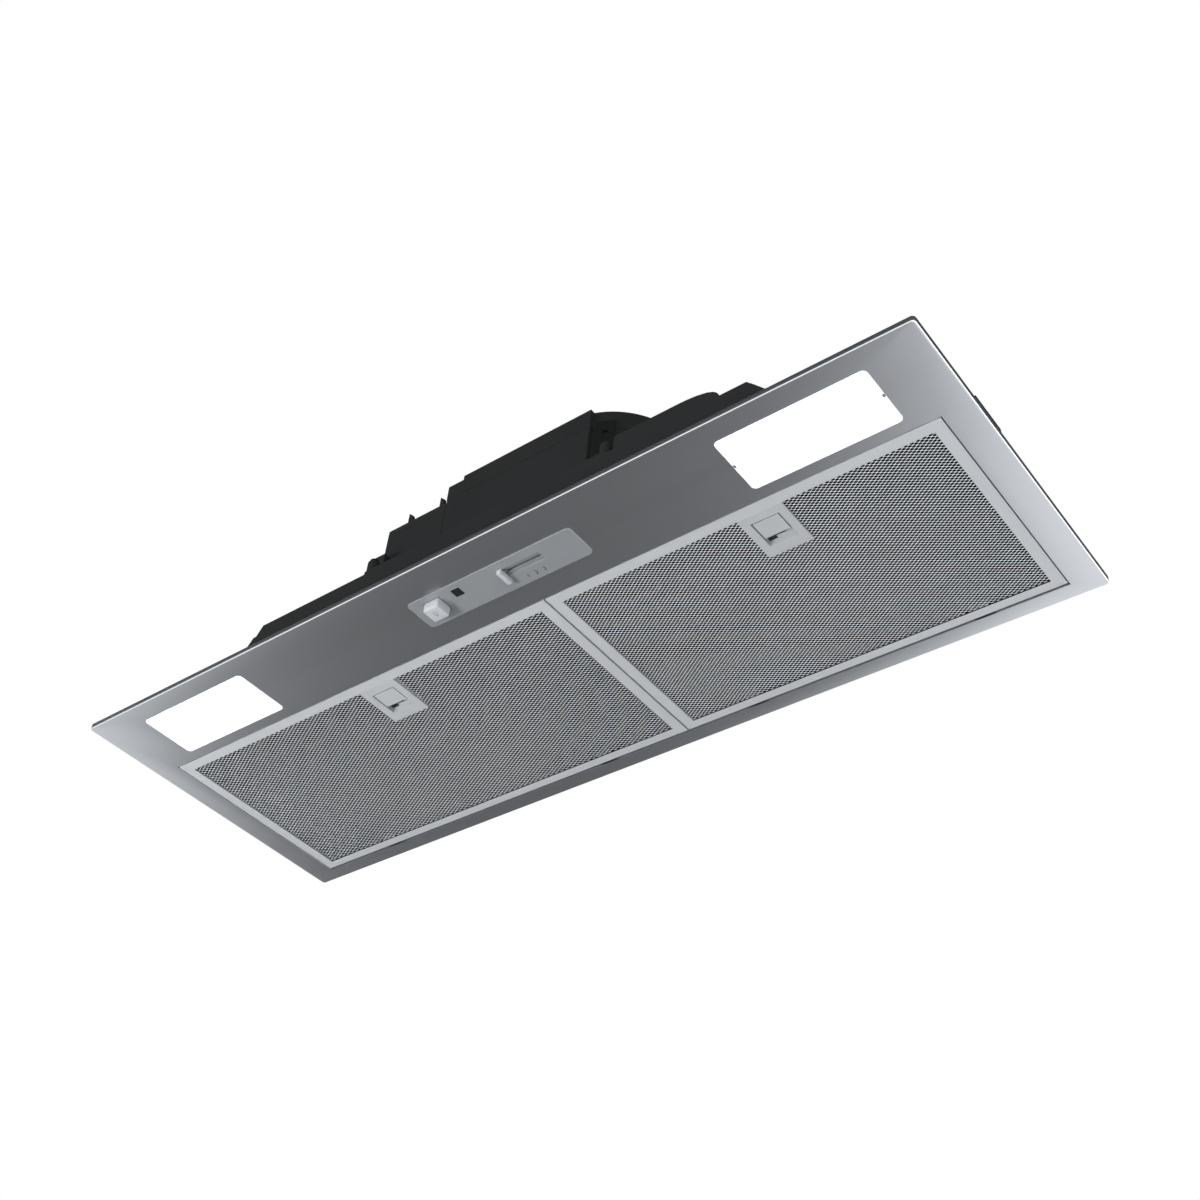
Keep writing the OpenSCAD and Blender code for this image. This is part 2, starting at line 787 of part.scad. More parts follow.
// The control strip's visible bezel
module control_bezel() {
    color("#85898b") on_face() difference() {
        union() {
            soft_span(bezel_span_x, bezel_span_y, [-bezel_proud, 0], bezel_r);
            soft_span(grow(bezel_span_x, -bezel_lap - fit_gap), grow(bezel_span_y, -bezel_lap - fit_gap),
                      [-bezel_proud, bezel_skirt], bezel_r - bezel_lap);
        }
        difference() {
            span(grow(bezel_span_x, -bezel_lap - fit_gap - control_wall),
                 grow(bezel_span_y, -bezel_lap - fit_gap - control_wall), [bezel_t, bezel_skirt + cut]);
            span(grow(slot_x, bezel_t), about(slot_y, slot_d + 2 * bezel_t), [0, slot_back]);
        }
        span(about(button_x, button_w + 2 * fit_gap), about(button_y, button_d + 2 * fit_gap),
             [-bezel_proud - cut, bezel_skirt + cut]);
        span(about(window_x, window_w + 2 * run_gap), about(row_y + window_shift, window_w + 2 * run_gap),
             [-bezel_proud - cut, bezel_skirt + cut]);
        span(slot_x, about(slot_y, slot_d), [-bezel_proud - cut, slot_depth - bezel_proud]);
        span(slot_x, about(slot_y, slit_d), [-bezel_proud - cut, bezel_skirt + cut]);
    }
}

// The square lamp button
module light_button() {
    low = -bezel_proud - button_proud;
    color("whitesmoke") on_face() {
        hull() {
            span(about(button_x, button_w - 2 * button_taper), about(button_y, button_d - 2 * button_taper),
                 [low, low + button_taper]);
            span(about(button_x, button_w), about(button_y, button_d), [low + 2 * button_taper, bezel_t]);
        }
        span(about(button_x, button_w + 2 * button_foot), about(button_y, button_d + 2 * button_foot),
             [bezel_t + fit_gap, bezel_t + fit_gap + button_foot]);
        post(button_x, button_y, [bezel_t - button_foot, control_board_z - button_travel - fit_gap],
             button_stem_r);
    }
}

// The return spring between the button and the board
module button_spring() {
    low = bezel_t + fit_gap + button_foot;
    color("silver") on_face() difference() {
        post(button_x, button_y, [low, control_board_z], button_stem_r + fit_gap + spring_wire);
        post(button_x, button_y, [low - cut, control_board_z + cut], button_stem_r + fit_gap);
    }
}

// The dark square window over the indicator light
module indicator_window() {
    color("#111111") on_face()
        span(about(window_x, window_w), about(row_y + window_shift, window_w),
             [-bezel_proud + run_gap, bezel_t]);
}

// The fan speed slider: knob, stem and the rail that works the switch
module fan_speed_knob() {
    c = slot_x[0] + fit_gap + knob_w / 2;
    low = -bezel_proud - knob_proud;
    color("whitesmoke") on_face() {
        hull() {
            span(about(c, knob_w - 2 * button_taper), about(knob_y, knob_d - 2 * button_taper),
                 [low, low + button_taper]);
            span(about(c, knob_w), about(knob_y, knob_d), [low + 2 * button_taper, -bezel_proud - fit_gap]);
        }
        span(about(c, knob_stem_w), about(slot_y, slit_d - 2 * fit_gap),
             [low + knob_rail, slot_back + fit_gap + knob_rail]);
        span(about(c, knob_w), about(slot_y, slot_d),
             [slot_back + fit_gap, slot_back + fit_gap + knob_rail]);
    }
}

// The switch body on the board, over the slider's path
module speed_switch() {
    color("dimgray") on_face()
        span(slot_x, about(slot_y, slot_d), [slot_back + 2 * fit_gap + knob_rail, control_board_z]);
}

module control_board() {
    color("darkgreen") on_face()
        span(board_span_x, grow(bezel_span_y, -2 * bezel_lap),
             [control_board_z, control_board_z + control_board_t]);
}

// The cover over the control board
module control_housing() {
    hx = grow(bezel_span_x, control_wall - bezel_lap);
    hy = grow(bezel_span_y, control_wall - bezel_lap);
    clamp_x = grow(board_span_x, -2 * control_wall);
    color("#303234") on_face() difference() {
        span(hx, hy, [sheet_t, control_h]);
        span(grow(hx, -control_wall), grow(hy, -control_wall), [sheet_t - cut, control_h - control_wall]);
    }
    color("#303234") on_face()
        for (end = [0, 1])
            span(ordered(hx[end], clamp_x[end]), about(row_y, bezel_d / 4),
                 [control_board_z + control_board_t, control_board_z + control_board_t + control_wall]);
}

// Runs its children at each screw of the blower base
module screw_places() {
    sx = grow(base_x, -boss_inset);
    sy = grow(base_y, -boss_inset);
    for (at_xy = [[sx[0], sy[0]], [sx[1], sy[0]], [sx[1], sy[1]], [outlet_x - base_ear, collar_y]])
        translate([at_xy[0], at_xy[1], 0]) children();
}

// The blower's lower plate, with the inlet's bell mouth and four screw towers
module blower_base() {
    color("#26282a") on_face() difference() {
        union() {
            soft_span(base_x, base_y, [base_z, casing_z], base_r);
            soft_span([outlet_x - 2 * base_ear, base_x[1]], about(collar_y, 4 * base_ear),
                      [base_z, casing_z], base_r);
            post(blower_x, 0, [casing_z - cut, wheel_z], throat_r + bell_wall);
            screw_places() post(0, 0, [casing_z - cut, casing_z + boss_h], boss_r);
        }
        post(blower_x, 0, [base_z - cut, wheel_z + cut], throat_r);
        screw_places() post(0, 0, [base_z - cut, casing_z + boss_h + cut], screw_r + screw_gap);
    }
}

// Plan of the casing, drawn in by t: a straight left part and a round right end
module casing_plan(t) {
    half = casing_half_d;
    translate([main_x + t, t - half]) square([corner_x - main_x - t, 2 * (half - t)]);
    translate([corner_x - cut, casing_r - half]) square([casing_r - t + cut, 2 * (half - casing_r)]);
    for (side = [-1, 1])
        translate([corner_x, side * (half - casing_r)]) circle(casing_r - t);
    translate([outlet_x + t, outlet_y + t]) square([main_x - outlet_x + cut, half - outlet_y - 2 * t]);
    translate([corner_x - cut, t - half]) square([cheek_x - corner_x + cut - t, casing_r / 2]);
}

// The wall round the fan wheel
module blower_casing() {
    color("#2f3133") on_face() translate([0, 0, casing_z]) linear_extrude(joint_h - casing_z) difference() {
        casing_plan(0);
        casing_plan(casing_wall);
    }
}

// The lid over the casing, with the motor's seat and the outlet
module blower_cover() {
    through_z = [cover_h - casing_wall - cut, cover_h + cover_rib_h + cut];
    color("#2b2d2f") on_face() difference() {
        union() {
            translate([0, 0, joint_h]) linear_extrude(cover_h - joint_h) casing_plan(0);
            for (angle = cover_rib_angles)
                translate([blower_x, 0, cover_h - cut]) rotate([0, 0, angle])
                    span([motor_r + 2 * rib_w, casing_r + rib_w], about(0, cover_rib_w),
                         [0, cover_rib_h + cut]);
        }
        difference() {
            translate([0, 0, joint_h - cut]) linear_extrude(cover_h - casing_wall - joint_h + cut)
                casing_plan(casing_wall);
            span([main_x, main_x + step_w + casing_wall], [-casing_half_d, terminal_y[1] + casing_wall],
                 [cover_h - step_h - casing_wall, cover_h]);
        }
        span([main_x - cut, main_x + step_w], [-casing_half_d - cut, terminal_y[1]],
             [cover_h - step_h, cover_h + cut]);
        post(blower_x, 0, through_z, motor_r + motor_hole_gap);
        post(collar_x, collar_y, through_z, collar_in_r);
        for (angle = motor_screw_angles)
            translate([blower_x, 0, 0]) rotate([0, 0, angle])
                post(motor_screw_ring, 0, through_z, screw_r + screw_gap);
    }
}

// Spring straps that hold the cover on the casing
module cover_clips() {
    half = casing_half_d;
    color("#3a3c3e") on_face() {
        translate([corner_x, casing_r - half, 0]) rotate([0, 0, clip_turn]) cover_clip(-casing_r);
        cover_clip(half, 180, corner_x / 2);
        translate([corner_x + casing_r, 0, 0]) rotate([0, 0, 90]) cover_clip(0);
        translate([outlet_x, (outlet_y + half) / 2, 0]) rotate([0, 0, -90]) cover_clip(0);
    }
}

// One strap with its slot, its back face at y
module cover_clip(y, turn = 0, x = 0) {
    translate([x, y, 0]) rotate([0, 0, turn]) difference() {
        span(about(0, clip_strap[0]), [-clip_strap[1], 0], [clip_strap_z, clip_strap_z + clip_strap[2]]);
        span(about(0, clip_slot[0]), [-clip_strap[1] - cut, cut],
             about(clip_strap_z + clip_strap[2] / 2, clip_slot[1]));
    }
}

// Screws from the blower base into the air box
module casing_screws() {
    color("silver") on_face() screw_places() {
        post(0, 0, [casing_z + boss_h, casing_z + boss_h + screw_head_t], screw_head_r);
        post(0, 0, [hump_h - 2 * box_wall, casing_z + boss_h + cut], screw_r);
    }
}

// One edge of a curved blade, from the inner to the outer radius
function blade_edge(side) = [for (i = [0 : blade_steps])
    let (r = wheel_r - blade_depth + blade_inset + (blade_depth - 2 * blade_inset) * i / blade_steps,
         a = blade_sweep * pow(i / blade_steps, 2) + side * blade_t / 2 / r * 180 / PI)
    [r * cos(a), r * sin(a)]];

// The fan wheel: disc, hub, front ring and forward-curved blades
module fan_wheel() {
    front_z = wheel_z + wheel_gap;
    edge = blade_edge(1);
    blade = concat(blade_edge(-1), [for (i = [blade_steps : -1 : 0]) edge[i]]);
    color("#3c3f41") on_face() translate([blower_x, 0, 0]) difference() {
        union() {
            post(0, 0, [disc_z, disc_z + disc_t], wheel_r);
            post(0, 0, [disc_z + disc_t - hub_h, disc_z + disc_t + disc_t], hub_r);
            difference() {
                post(0, 0, [front_z, front_z + shroud_t], wheel_r);
                post(0, 0, [front_z - cut, front_z + shroud_t + cut], wheel_r - blade_depth);
            }
            for (i = [0 : blade_count - 1])
                rotate([0, 0, 360 * i / blade_count]) translate([0, 0, front_z + shroud_t / 2])
                    linear_extrude(disc_z - front_z) polygon(blade);
        }
        post(0, 0, [disc_z - hub_h, disc_z + hub_h], shaft_r + run_gap);
    }
}

module wheel_nut() {
    low = disc_z + disc_t - hub_h;
    color("silver") on_face() translate([blower_x, 0, low - nut_t]) difference() {
        cylinder(h = nut_t, r = nut_r, $fn = 6);
        post(0, 0, [-cut, nut_t + cut], shaft_r + run_gap);
    }
}

module motor_shaft() {
    color("silver") on_face()
        post(blower_x, 0, [disc_z + disc_t - hub_h - nut_t, motor_z + motor_rise], shaft_r);
}

// The motor: a vented can on a flange, with a bearing neck towards the wheel
module motor() {
    top = cover_h + motor_rise;
    seat = cover_h + grommet_t;
    vent_low = seat + motor_ear_t + motor_vent[0] / 2;
    color("#8d9093") on_face() translate([blower_x, 0, 0]) difference() {
        union() {
            post(0, 0, [motor_z, top - motor_dome_t], motor_r);
            post(0, 0, [top - motor_dome_t - cut, top], motor_r - motor_dome_t);
            post(0, 0, [motor_z - motor_neck_h, motor_z + cut], motor_neck_r);
            for (angle = motor_screw_angles)
                rotate([0, 0, angle]) {
                    span([0, motor_screw_ring], about(0, 2 * motor_ear_r), [seat, seat + motor_ear_t]);
                    post(motor_screw_ring, 0, [seat, seat + motor_ear_t], motor_ear_r);
                }
        }
        post(0, 0, [motor_z - motor_neck_h - cut, motor_z + motor_rise + fit_gap], shaft_r + run_gap);
        for (i = [0 : motor_vents - 1])
            rotate([0, 0, 360 * i / motor_vents])
                span([motor_r - motor_vent[0], motor_r + cut], about(0, motor_vent[0]),
                     [vent_low, vent_low + motor_vent[1]]);
        for (angle = motor_screw_angles)
            rotate([0, 0, angle]) post(motor_screw_ring, 0, [cover_h, top], screw_r + screw_gap);
    }
}

// Rubber rings between the motor flange and the cover
module motor_grommets() {
    color("#1c1c1c") on_face() translate([blower_x, 0, 0])
        for (angle = motor_screw_angles)
            rotate([0, 0, angle]) difference() {
                post(motor_screw_ring, 0, [cover_h, cover_h + grommet_t], grommet_r);
                post(motor_screw_ring, 0, [cover_h - cut, cover_h + grommet_t + cut], screw_r + screw_gap);
            }
}

module motor_screws() {
    seat = cover_h + grommet_t + motor_ear_t;
    color("silver") on_face() translate([blower_x, 0, 0])
        for (angle = motor_screw_angles)
            rotate([0, 0, angle]) {
                post(motor_screw_ring, 0, [seat, seat + screw_head_t - cut], screw_head_r - cut / 2);
                post(motor_screw_ring, 0, [cover_h - 2 * casing_wall, seat + cut], screw_r);
            }
}

// The duct collar with its foot and the ledge that the flaps rest on
module outlet_collar() {
    ledge_top = pin_high - flap_t / 2 - fit_gap;
    color("#2b2d2f") on_face() difference() {
        union() {
            post(collar_x, collar_y, [collar_z, collar_z + collar_flange_t], collar_flange_r);
            post(collar_x, collar_y, [collar_z, collar_z + collar_h], collar_r);
        }
        post(collar_x, collar_y, [collar_z - cut, ledge_top - ledge_t], collar_in_r);
        post(collar_x, collar_y, [ledge_top - ledge_t - cut, ledge_top], collar_in_r - ledge_w);
        post(collar_x, collar_y, [ledge_top, collar_z + collar_h + cut], collar_in_r);
        bar_x(about(collar_x, 2 * collar_r - collar_wall + 2 * run_gap), collar_y, pin_high,
              flap_pin_r + run_gap);
    }
}

module flap_pin() {
    color("silver") on_face()
        bar_x(about(collar_x, 2 * collar_r - collar_wall), collar_y, pin_high, flap_pin_r);
}

// One non-return flap: a half disc with two knuckles on the pin; side is its way from the pin
module damper_flap(side) {
    flap_r = collar_in_r - flap_rim_gap;
    clear_y = knuckle_r + knuckle_room;
    first = side > 0 ? 0 : 1;
    color("#4a4d50") on_face() translate([collar_x, collar_y, pin_high]) difference() {
        union() {
            intersection() {
                post(0, 0, [-flap_t / 2, flap_t / 2], flap_r);
                span([-collar_r, collar_r], ordered(side * clear_y, side * collar_r), [-flap_t, flap_t]);
            }
            for (i = [0, 1]) {
                x = about((first + 2 * i - 1.5) * knuckle_pitch, knuckle_l);
                span(x, ordered(0, side * (clear_y + cut)), [-flap_t / 2, flap_t / 2]);
                bar_x(x, 0, 0, knuckle_r);
            }
        }
        bar_x([-collar_r, collar_r], 0, 0, flap_pin_r + run_gap);
    }
}

// The mains terminal box beside the blower
module terminal_box() {
    floor_z = casing_z;
    top = terminal_h - terminal_lid_t;
    color("#2d2f31") on_face() difference() {
        union() {
            span(terminal_x, terminal_y, [floor_z, top]);
            span([terminal_x[0], terminal_x[0] + foot_w], [terminal_y[0] - foot_d, terminal_y[0] + cut],
                 [floor_z, floor_z + foot_h]);
        }
        span(grow(terminal_x, -terminal_wall), grow(terminal_y, -terminal_wall),
             [floor_z + terminal_wall, top + cut]);
        bar_x([terminal_x[0] - cut, terminal_x[0] + terminal_wall + cut], gland_y, gland_z,
              gland_r + screw_gap);
    }
}

// The terminal box lid with two hooked fins
module terminal_lid() {
    top = terminal_h;
    color("#2d2f31") on_face() {
        span(terminal_x, terminal_y, [top - terminal_lid_t, top]);
        for (x = hook_fins)
            along_y([terminal_y[0], terminal_y[0] + hook_fin_t])
                polygon([[terminal_x[0] + x, top - cut], [terminal_x[0] + x, top + hook_fin_h],
                         [terminal_x[0] + x + hook_fin_h / 2, top + hook_fin_h / 2],
                         [terminal_x[0] + x + hook_fin_h / 2, top - cut]]);
    }
}

// The screw terminals on the box's floor
module terminal_block() {
    floor_z = casing_z + terminal_wall;
    bx = terminal_x[0] + terminal_w / 3;
    by = terminal_y[1] - terminal_wall - block_size[1] / 2 - terminal_wall;
    color("ivory") on_face() difference() {
        span(about(bx, block_size[0]), about(by, block_size[1]), [floor_z, floor_z + block_size[2]]);
        for (i = [-1, 0, 1])
            post(bx, by + i * block_size[1] / 3, [floor_z + block_size[2] / 2, floor_z + block_size[2] + cut],
                 block_size[1] / 10);
    }
}

// The motor's run capacitor, lying on the box's floor
module run_capacitor() {
    floor_z = casing_z + terminal_wall;
    color("#b9bcc0") on_face()
        bar_y(terminal_x[1] - terminal_wall - capacitor_r - fit_gap,
              [terminal_y[0] + 2 * terminal_wall, terminal_y[0] + 2 * terminal_wall + capacitor_l],
              floor_z + capacitor_r, capacitor_r);
}

// The gland in the terminal box's left wall, for the mains cable
module cable_gland() {
    wall_x = terminal_x[0];
    color("#1d1e1f") on_face() difference() {
        union() {
            bar_x([wall_x - gland_l, wall_x + terminal_wall + gland_nut_t], gland_y, gland_z, gland_r);
            translate([wall_x - gland_nut_t, gland_y, gland_z]) rotate([0, 90, 0])
                cylinder(h = gland_nut_t, r = gland_nut_r, $fn = 6);
        }
        bar_x([wall_x - gland_l - cut, wall_x + terminal_wall + gland_nut_t + cut],
              gland_y, gland_z, cable_r);
    }
}

// The sealed driver of the lamps, on top of the air box
module lamp_driver() {
    right = driver_left + driver_w;
    y = [box_y[0] + box_wall, box_y[0] + box_wall + driver_d];
    color("#2a2c2d") on_face() along_y(y) {
        polygon(concat(
            [[driver_left, hump_h]],
            [for (s = driver_nose_share) [right - driver_nose * (1 - s[0]), hump_h + s[1] * driver_h]],
            [[driver_left, hump_h + driver_h]]
        ));
    }
}

// Rivets that hold the side clips
module clip_rivet_set(gap, over, heads) {
    for (s = clip_rivet_shares, side = [-1, 1]) {
        y = clip_y + s * clip_w;
        wall = side * box_x[1];
        inner = wall - side * (box_wall + over);
        outer = wall + side * (clip_t + over);
        z = pan_h - box_wall - clip_foot / 2;
        bar_x(ordered(inner, outer), y, z, rivet_r + gap);
        if (heads) {
            bar_x(ordered(outer, outer + side * rivet_head_t), y, z, rivet_head_r);
        }
    }
}

module clip_rivets() {
    color("gainsboro") on_face() clip_rivet_set(0, 0, true);
}

// One spring leaf; side is its way from the middle
module side_clip(side) {
    wall = box_x[1];
    low = pan_h - box_wall - clip_foot;
    knee = pan_h;
    profile = [
        [wall, low], [wall + clip_t, low], [wall + clip_t, knee],
        [wall + clip_nose + clip_t, clip_nose_h], [wall + clip_tip + clip_t, clip_h],
        [wall + clip_tip, clip_h], [wall + clip_nose, clip_nose_h], [wall, knee]
    ];
    color("#3b3d3f") on_face() difference() {
        along_y(about(clip_y, clip_w)) polygon([for (p = profile) [side * p[0], p[1]]]);
        clip_rivet_set(screw_gap, cut, false);
    }
}

face_plate();
air_box();
plate_rivets();
filter_hooks();
filter_frame(left_x);  // filter_frame_left
filter_frame(right_x);  // filter_frame_right
filter_mesh(left_x);  // filter_mesh_left
filter_mesh(right_x);  // filter_mesh_right
filter_core(left_x);  // filter_core_left
filter_core(right_x);  // filter_core_right
filter_backing(left_x);  // filter_backing_left
filter_backing(right_x);  // filter_backing_right
filter_pins(left_x);  // filter_pins_left
filter_pins(right_x);  // filter_pins_right
latch_plate(left_x);  // latch_plate_left
latch_plate(right_x);  // latch_plate_right
latch_flap(left_x);  // latch_flap_left
latch_flap(right_x);  // latch_flap_right
latch_tongue(left_x);  // latch_tongue_left
latch_tongue(right_x);  // latch_tongue_right
latch_spring(left_x);  // latch_spring_left
latch_spring(right_x);  // latch_spring_right
lamp_lens(left_lamp_x);  // lamp_lens_left
lamp_lens(right_lamp_x);  // lamp_lens_right
lamp_board(left_lamp_x);  // lamp_board_left
lamp_board(right_lamp_x);  // lamp_board_right
lamp_housing(left_lamp_x);  // lamp_housing_left
lamp_housing(right_lamp_x);  // lamp_housing_right
control_bezel();
light_button();
button_spring();
indicator_window();
fan_speed_knob();
speed_switch();
control_board();
control_housing();
blower_base();
blower_casing();
blower_cover();
cover_clips();
casing_screws();
fan_wheel();
wheel_nut();
motor_shaft();
motor();
motor_grommets();
motor_screws();
outlet_collar();
flap_pin();
damper_flap(-1);  // flap_front
damper_flap(1);  // flap_rear
terminal_box();
terminal_lid();
terminal_block();
run_capacitor();
cable_gland();
lamp_driver();
side_clip(-1);  // side_clip_left
side_clip(1);  // side_clip_right
clip_rivets();
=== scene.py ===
"""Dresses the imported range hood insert: finishes, fine mesh, rounded keys and a stage.

Laid out as an add-on and run as a script. Everything is in metres, in the
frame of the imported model: the rim's upper edge lies at z = 0, the face looks
down, the controls are towards -Y. Places on the face come from the nodes.
"""

import bmesh
import bpy
import numpy as np
from mathutils import Matrix, Vector


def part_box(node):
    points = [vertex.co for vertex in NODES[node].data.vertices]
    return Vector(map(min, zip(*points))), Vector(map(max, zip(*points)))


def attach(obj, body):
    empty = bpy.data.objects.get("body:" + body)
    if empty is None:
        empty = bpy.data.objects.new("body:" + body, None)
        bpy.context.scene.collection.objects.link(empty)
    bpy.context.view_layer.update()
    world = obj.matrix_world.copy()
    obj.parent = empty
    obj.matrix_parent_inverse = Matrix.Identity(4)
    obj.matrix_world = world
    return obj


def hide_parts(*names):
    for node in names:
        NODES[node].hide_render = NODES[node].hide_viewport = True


bl_info = {
    "name": "Range hood insert",
    "version": (1, 0, 0),
    "blender": (4, 5, 0),
    "location": "3D View > Sidebar > Hood",
    "description": "Finishes and fine pieces of a built-in range hood insert",
    "category": "Object",
}

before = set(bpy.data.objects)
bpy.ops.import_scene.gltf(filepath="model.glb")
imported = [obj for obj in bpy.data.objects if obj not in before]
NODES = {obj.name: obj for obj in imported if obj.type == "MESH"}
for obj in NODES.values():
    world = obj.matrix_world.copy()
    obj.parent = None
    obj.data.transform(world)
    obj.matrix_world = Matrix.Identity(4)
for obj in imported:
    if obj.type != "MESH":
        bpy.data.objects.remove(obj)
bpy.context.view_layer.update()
MM = 0.001


# ---- properties ----


def length(name, description, default, low, high):
    """A length property in metres."""
    return bpy.props.FloatProperty(
        name=name, description=description, default=default, min=low, max=high, unit="LENGTH", precision=5
    )


def colour(name, description, default):
    """A colour property, written as linear red, green and blue."""
    return bpy.props.FloatVectorProperty(
        name=name, description=description, default=default, min=0.0, max=1.0, size=3, subtype="COLOR"
    )


class HoodSizes(bpy.types.PropertyGroup):
    """Sizes of the pieces that are made here."""

    mesh_count: bpy.props.IntProperty(
        name="Mesh openings", description="Openings of the mesh along a filter", default=70, min=30, max=120
    )
    mesh_short: length("Mesh short pitch", "Pitch of the openings across the filter", 0.003, 0.002, 0.008)
    strand: length("Mesh strand", "Width of a strand of the mesh", 0.00052, 0.0003, 0.002)
    core_long: length("Core long pitch", "Pitch of the inner layers along the filter", 0.0096, 0.005, 0.02)
    core_short: length(
        "Core short pitch", "Pitch of the inner layers across the filter", 0.0052, 0.003, 0.012
    )
    fold: length("Fold radius", "Radius of the folds in sheet metal", 0.0008, 0.0001, 0.001)
    rim: length("Rim fold radius", "Radius of the plate's outer fold", 0.001, 0.0008, 0.0018)
    mould: length("Moulded edge", "Radius of the edges of moulded plastic", 0.0008, 0.0001, 0.003)
    key_edge: length("Key edge", "Rounding of the keys' edges", 0.0011, 0.0003, 0.002)
    mark: length("Mark height", "Height of the fan speed marks", 0.0034, 0.002, 0.006)


class HoodColours(bpy.types.PropertyGroup):
    """Colours of the finishes."""

    steel: colour("Face steel", "Brushed steel of the face plate", (0.75, 0.77, 0.80))
    filters: colour("Filter frames", "Satin aluminium of the filter frames", (0.565, 0.58, 0.603))
    strands: colour("Mesh", "Bright aluminium of the mesh", (0.92, 0.95, 0.985))
    # The core's near-black is painted shade: it stands for the aluminium layers inside the filters lying in
    # shadow.
    core: colour("Filter core", "Charcoal layers inside the filters", (0.005, 0.005, 0.0055))
    plastic: colour("Housing", "Charcoal plastic of the housings", (0.0185, 0.0192, 0.0198))
    strip: colour("Control strip", "Grey plastic of the control strip", (0.29, 0.305, 0.32))
    keys: colour("Keys", "Light grey plastic of the keys", (0.47, 0.485, 0.51))
    window: colour("Window", "Dark window of the indicator", (0.018, 0.0185, 0.019))
    lens: colour("Lens", "Lit, frosted lamp lens", (0.93, 0.96, 1.0))
    ink: colour("Marks", "Printed marks on the strip and the button", (0.06, 0.063, 0.068))
    zinc: colour("Fasteners", "Zinc plated steel", (0.62, 0.63, 0.64))
    spring: colour("Springs", "Dark spring steel", (0.16, 0.165, 0.17))
    motor: colour("Motor", "Painted motor can", (0.24, 0.25, 0.26))


# ---- shared effects ----


def effect(name, inputs, outputs):
    """A shader node group with named inputs and outputs; returns the tree, its input and its output."""
    tree = bpy.data.node_groups.new(name, "ShaderNodeTree")
    for label, kind, default in inputs:
        socket = tree.interface.new_socket(label, in_out="INPUT", socket_type=kind)
        socket.default_value = default
    for label, kind in outputs:
        tree.interface.new_socket(label, in_out="OUTPUT", socket_type=kind)
    return tree, tree.nodes.new("NodeGroupInput"), tree.nodes.new("NodeGroupOutput")


def link(tree, a, b):
    """Joins an output to an input."""
    tree.links.new(a, b)


def node(tree, kind, **values):
    """A node with its properties and the defaults of its inputs set by name."""
    made = tree.nodes.new(kind)
    for key, value in values.items():
        if hasattr(made, key):
            setattr(made, key, value)
        else:
            made.inputs[key.replace("_", " ")].default_value = value
    return made


def noise(tree, vector, detail):
    """Plain noise on coordinates that are scaled already."""
    made = tree.nodes.new("ShaderNodeTexNoise")
    made.inputs["Scale"].default_value = 1.0
    made.inputs["Detail"].default_value = detail
    made.inputs["Roughness"].default_value = 0.55
    link(tree, vector, made.inputs["Vector"])
    return made.outputs["Fac"]


def scaled_place(tree, scale):
    """Object coordinates times a vector that an input gives."""
    place = tree.nodes.new("ShaderNodeTexCoord")
    times = node(tree, "ShaderNodeVectorMath", operation="MULTIPLY")
    link(tree, place.outputs["Object"], times.inputs[0])
    link(tree, scale, times.inputs[1])
    return times.outputs[0]


def spread_about(tree, value, middle, half):
    """Maps a value from 0..1 onto middle - half..middle + half; the middle is a number or a socket."""
    made = tree.nodes.new("ShaderNodeMapRange")
    link(tree, value, made.inputs["Value"])
    for operation, end_name in (("SUBTRACT", "To Min"), ("ADD", "To Max")):
        end = node(tree, "ShaderNodeMath", operation=operation)
        if isinstance(middle, float):
            end.inputs[0].default_value = middle
        else:
            link(tree, middle, end.inputs[0])
        link(tree, half, end.inputs[1])
        link(tree, end.outputs[0], made.inputs[end_name])
    return made.outputs["Result"]


def tinted(tree, colour_socket, value):
    """A colour times a grey value."""
    mix = node(tree, "ShaderNodeMix", data_type="RGBA", blend_type="MULTIPLY")
    mix.inputs[0].default_value = 1.0
    link(tree, colour_socket, mix.inputs[6])
    link(tree, value, mix.inputs[7])
    return mix.outputs[2]


def finish_effect(name, fine_field, slow_field, roughness):
    """The inputs and outputs that both finishes share; a field is the name and scale of a noise."""
    return effect(
        name,
        [
            ("Colour", "NodeSocketColor", (0.5, 0.5, 0.5, 1)),
            (fine_field[0], "NodeSocketVector", fine_field[1]),
            (slow_field[0], "NodeSocketVector", slow_field[1]),
            ("Tone", "NodeSocketFloat", 0.08),
            ("Roughness", "NodeSocketFloat", roughness),
            ("Spread", "NodeSocketFloat", 0.06),
        ],
        [("Colour", "NodeSocketColor"), ("Roughness", "NodeSocketFloat"), ("Height", "NodeSocketFloat")],
    )


def finish_outputs(tree, given, out, tone_by, roughness_by, height):
    """Colour times 1 +- tone, roughness +- spread, and a height, each led by a value from 0 to 1."""
    tone = spread_about(tree, tone_by, 1.0, given.outputs["Tone"])
    link(tree, tinted(tree, given.outputs["Colour"], tone), out.inputs["Colour"])
    rough = spread_about(tree, roughness_by, given.outputs["Roughness"], given.outputs["Spread"])
    link(tree, rough, out.inputs["Roughness"])
    link(tree, height, out.inputs["Height"])


def grain_effect():
    """Drawn-out lines of a brushed or drawn finish: noise on stretched coordinates, in two widths."""
    tree, given, out = finish_effect(
        "drawn_grain", ("Lines", (6, 1400, 1400)), ("Streaks", (1.2, 90, 90)), 0.35
    )
    fine = noise(tree, scaled_place(tree, given.outputs["Lines"]), 3.0)
    wide = noise(tree, scaled_place(tree, given.outputs["Streaks"]), 2.0)
    both = node(tree, "ShaderNodeMath", operation="ADD")
    link(tree, fine, both.inputs[0])
    link(tree, wide, both.inputs[1])
    half = node(tree, "ShaderNodeMath", operation="MULTIPLY")
    half.inputs[1].default_value = 0.5
    link(tree, both.outputs[0], half.inputs[0])
    finish_outputs(tree, given, out, half.outputs[0], wide, fine)
    return tree


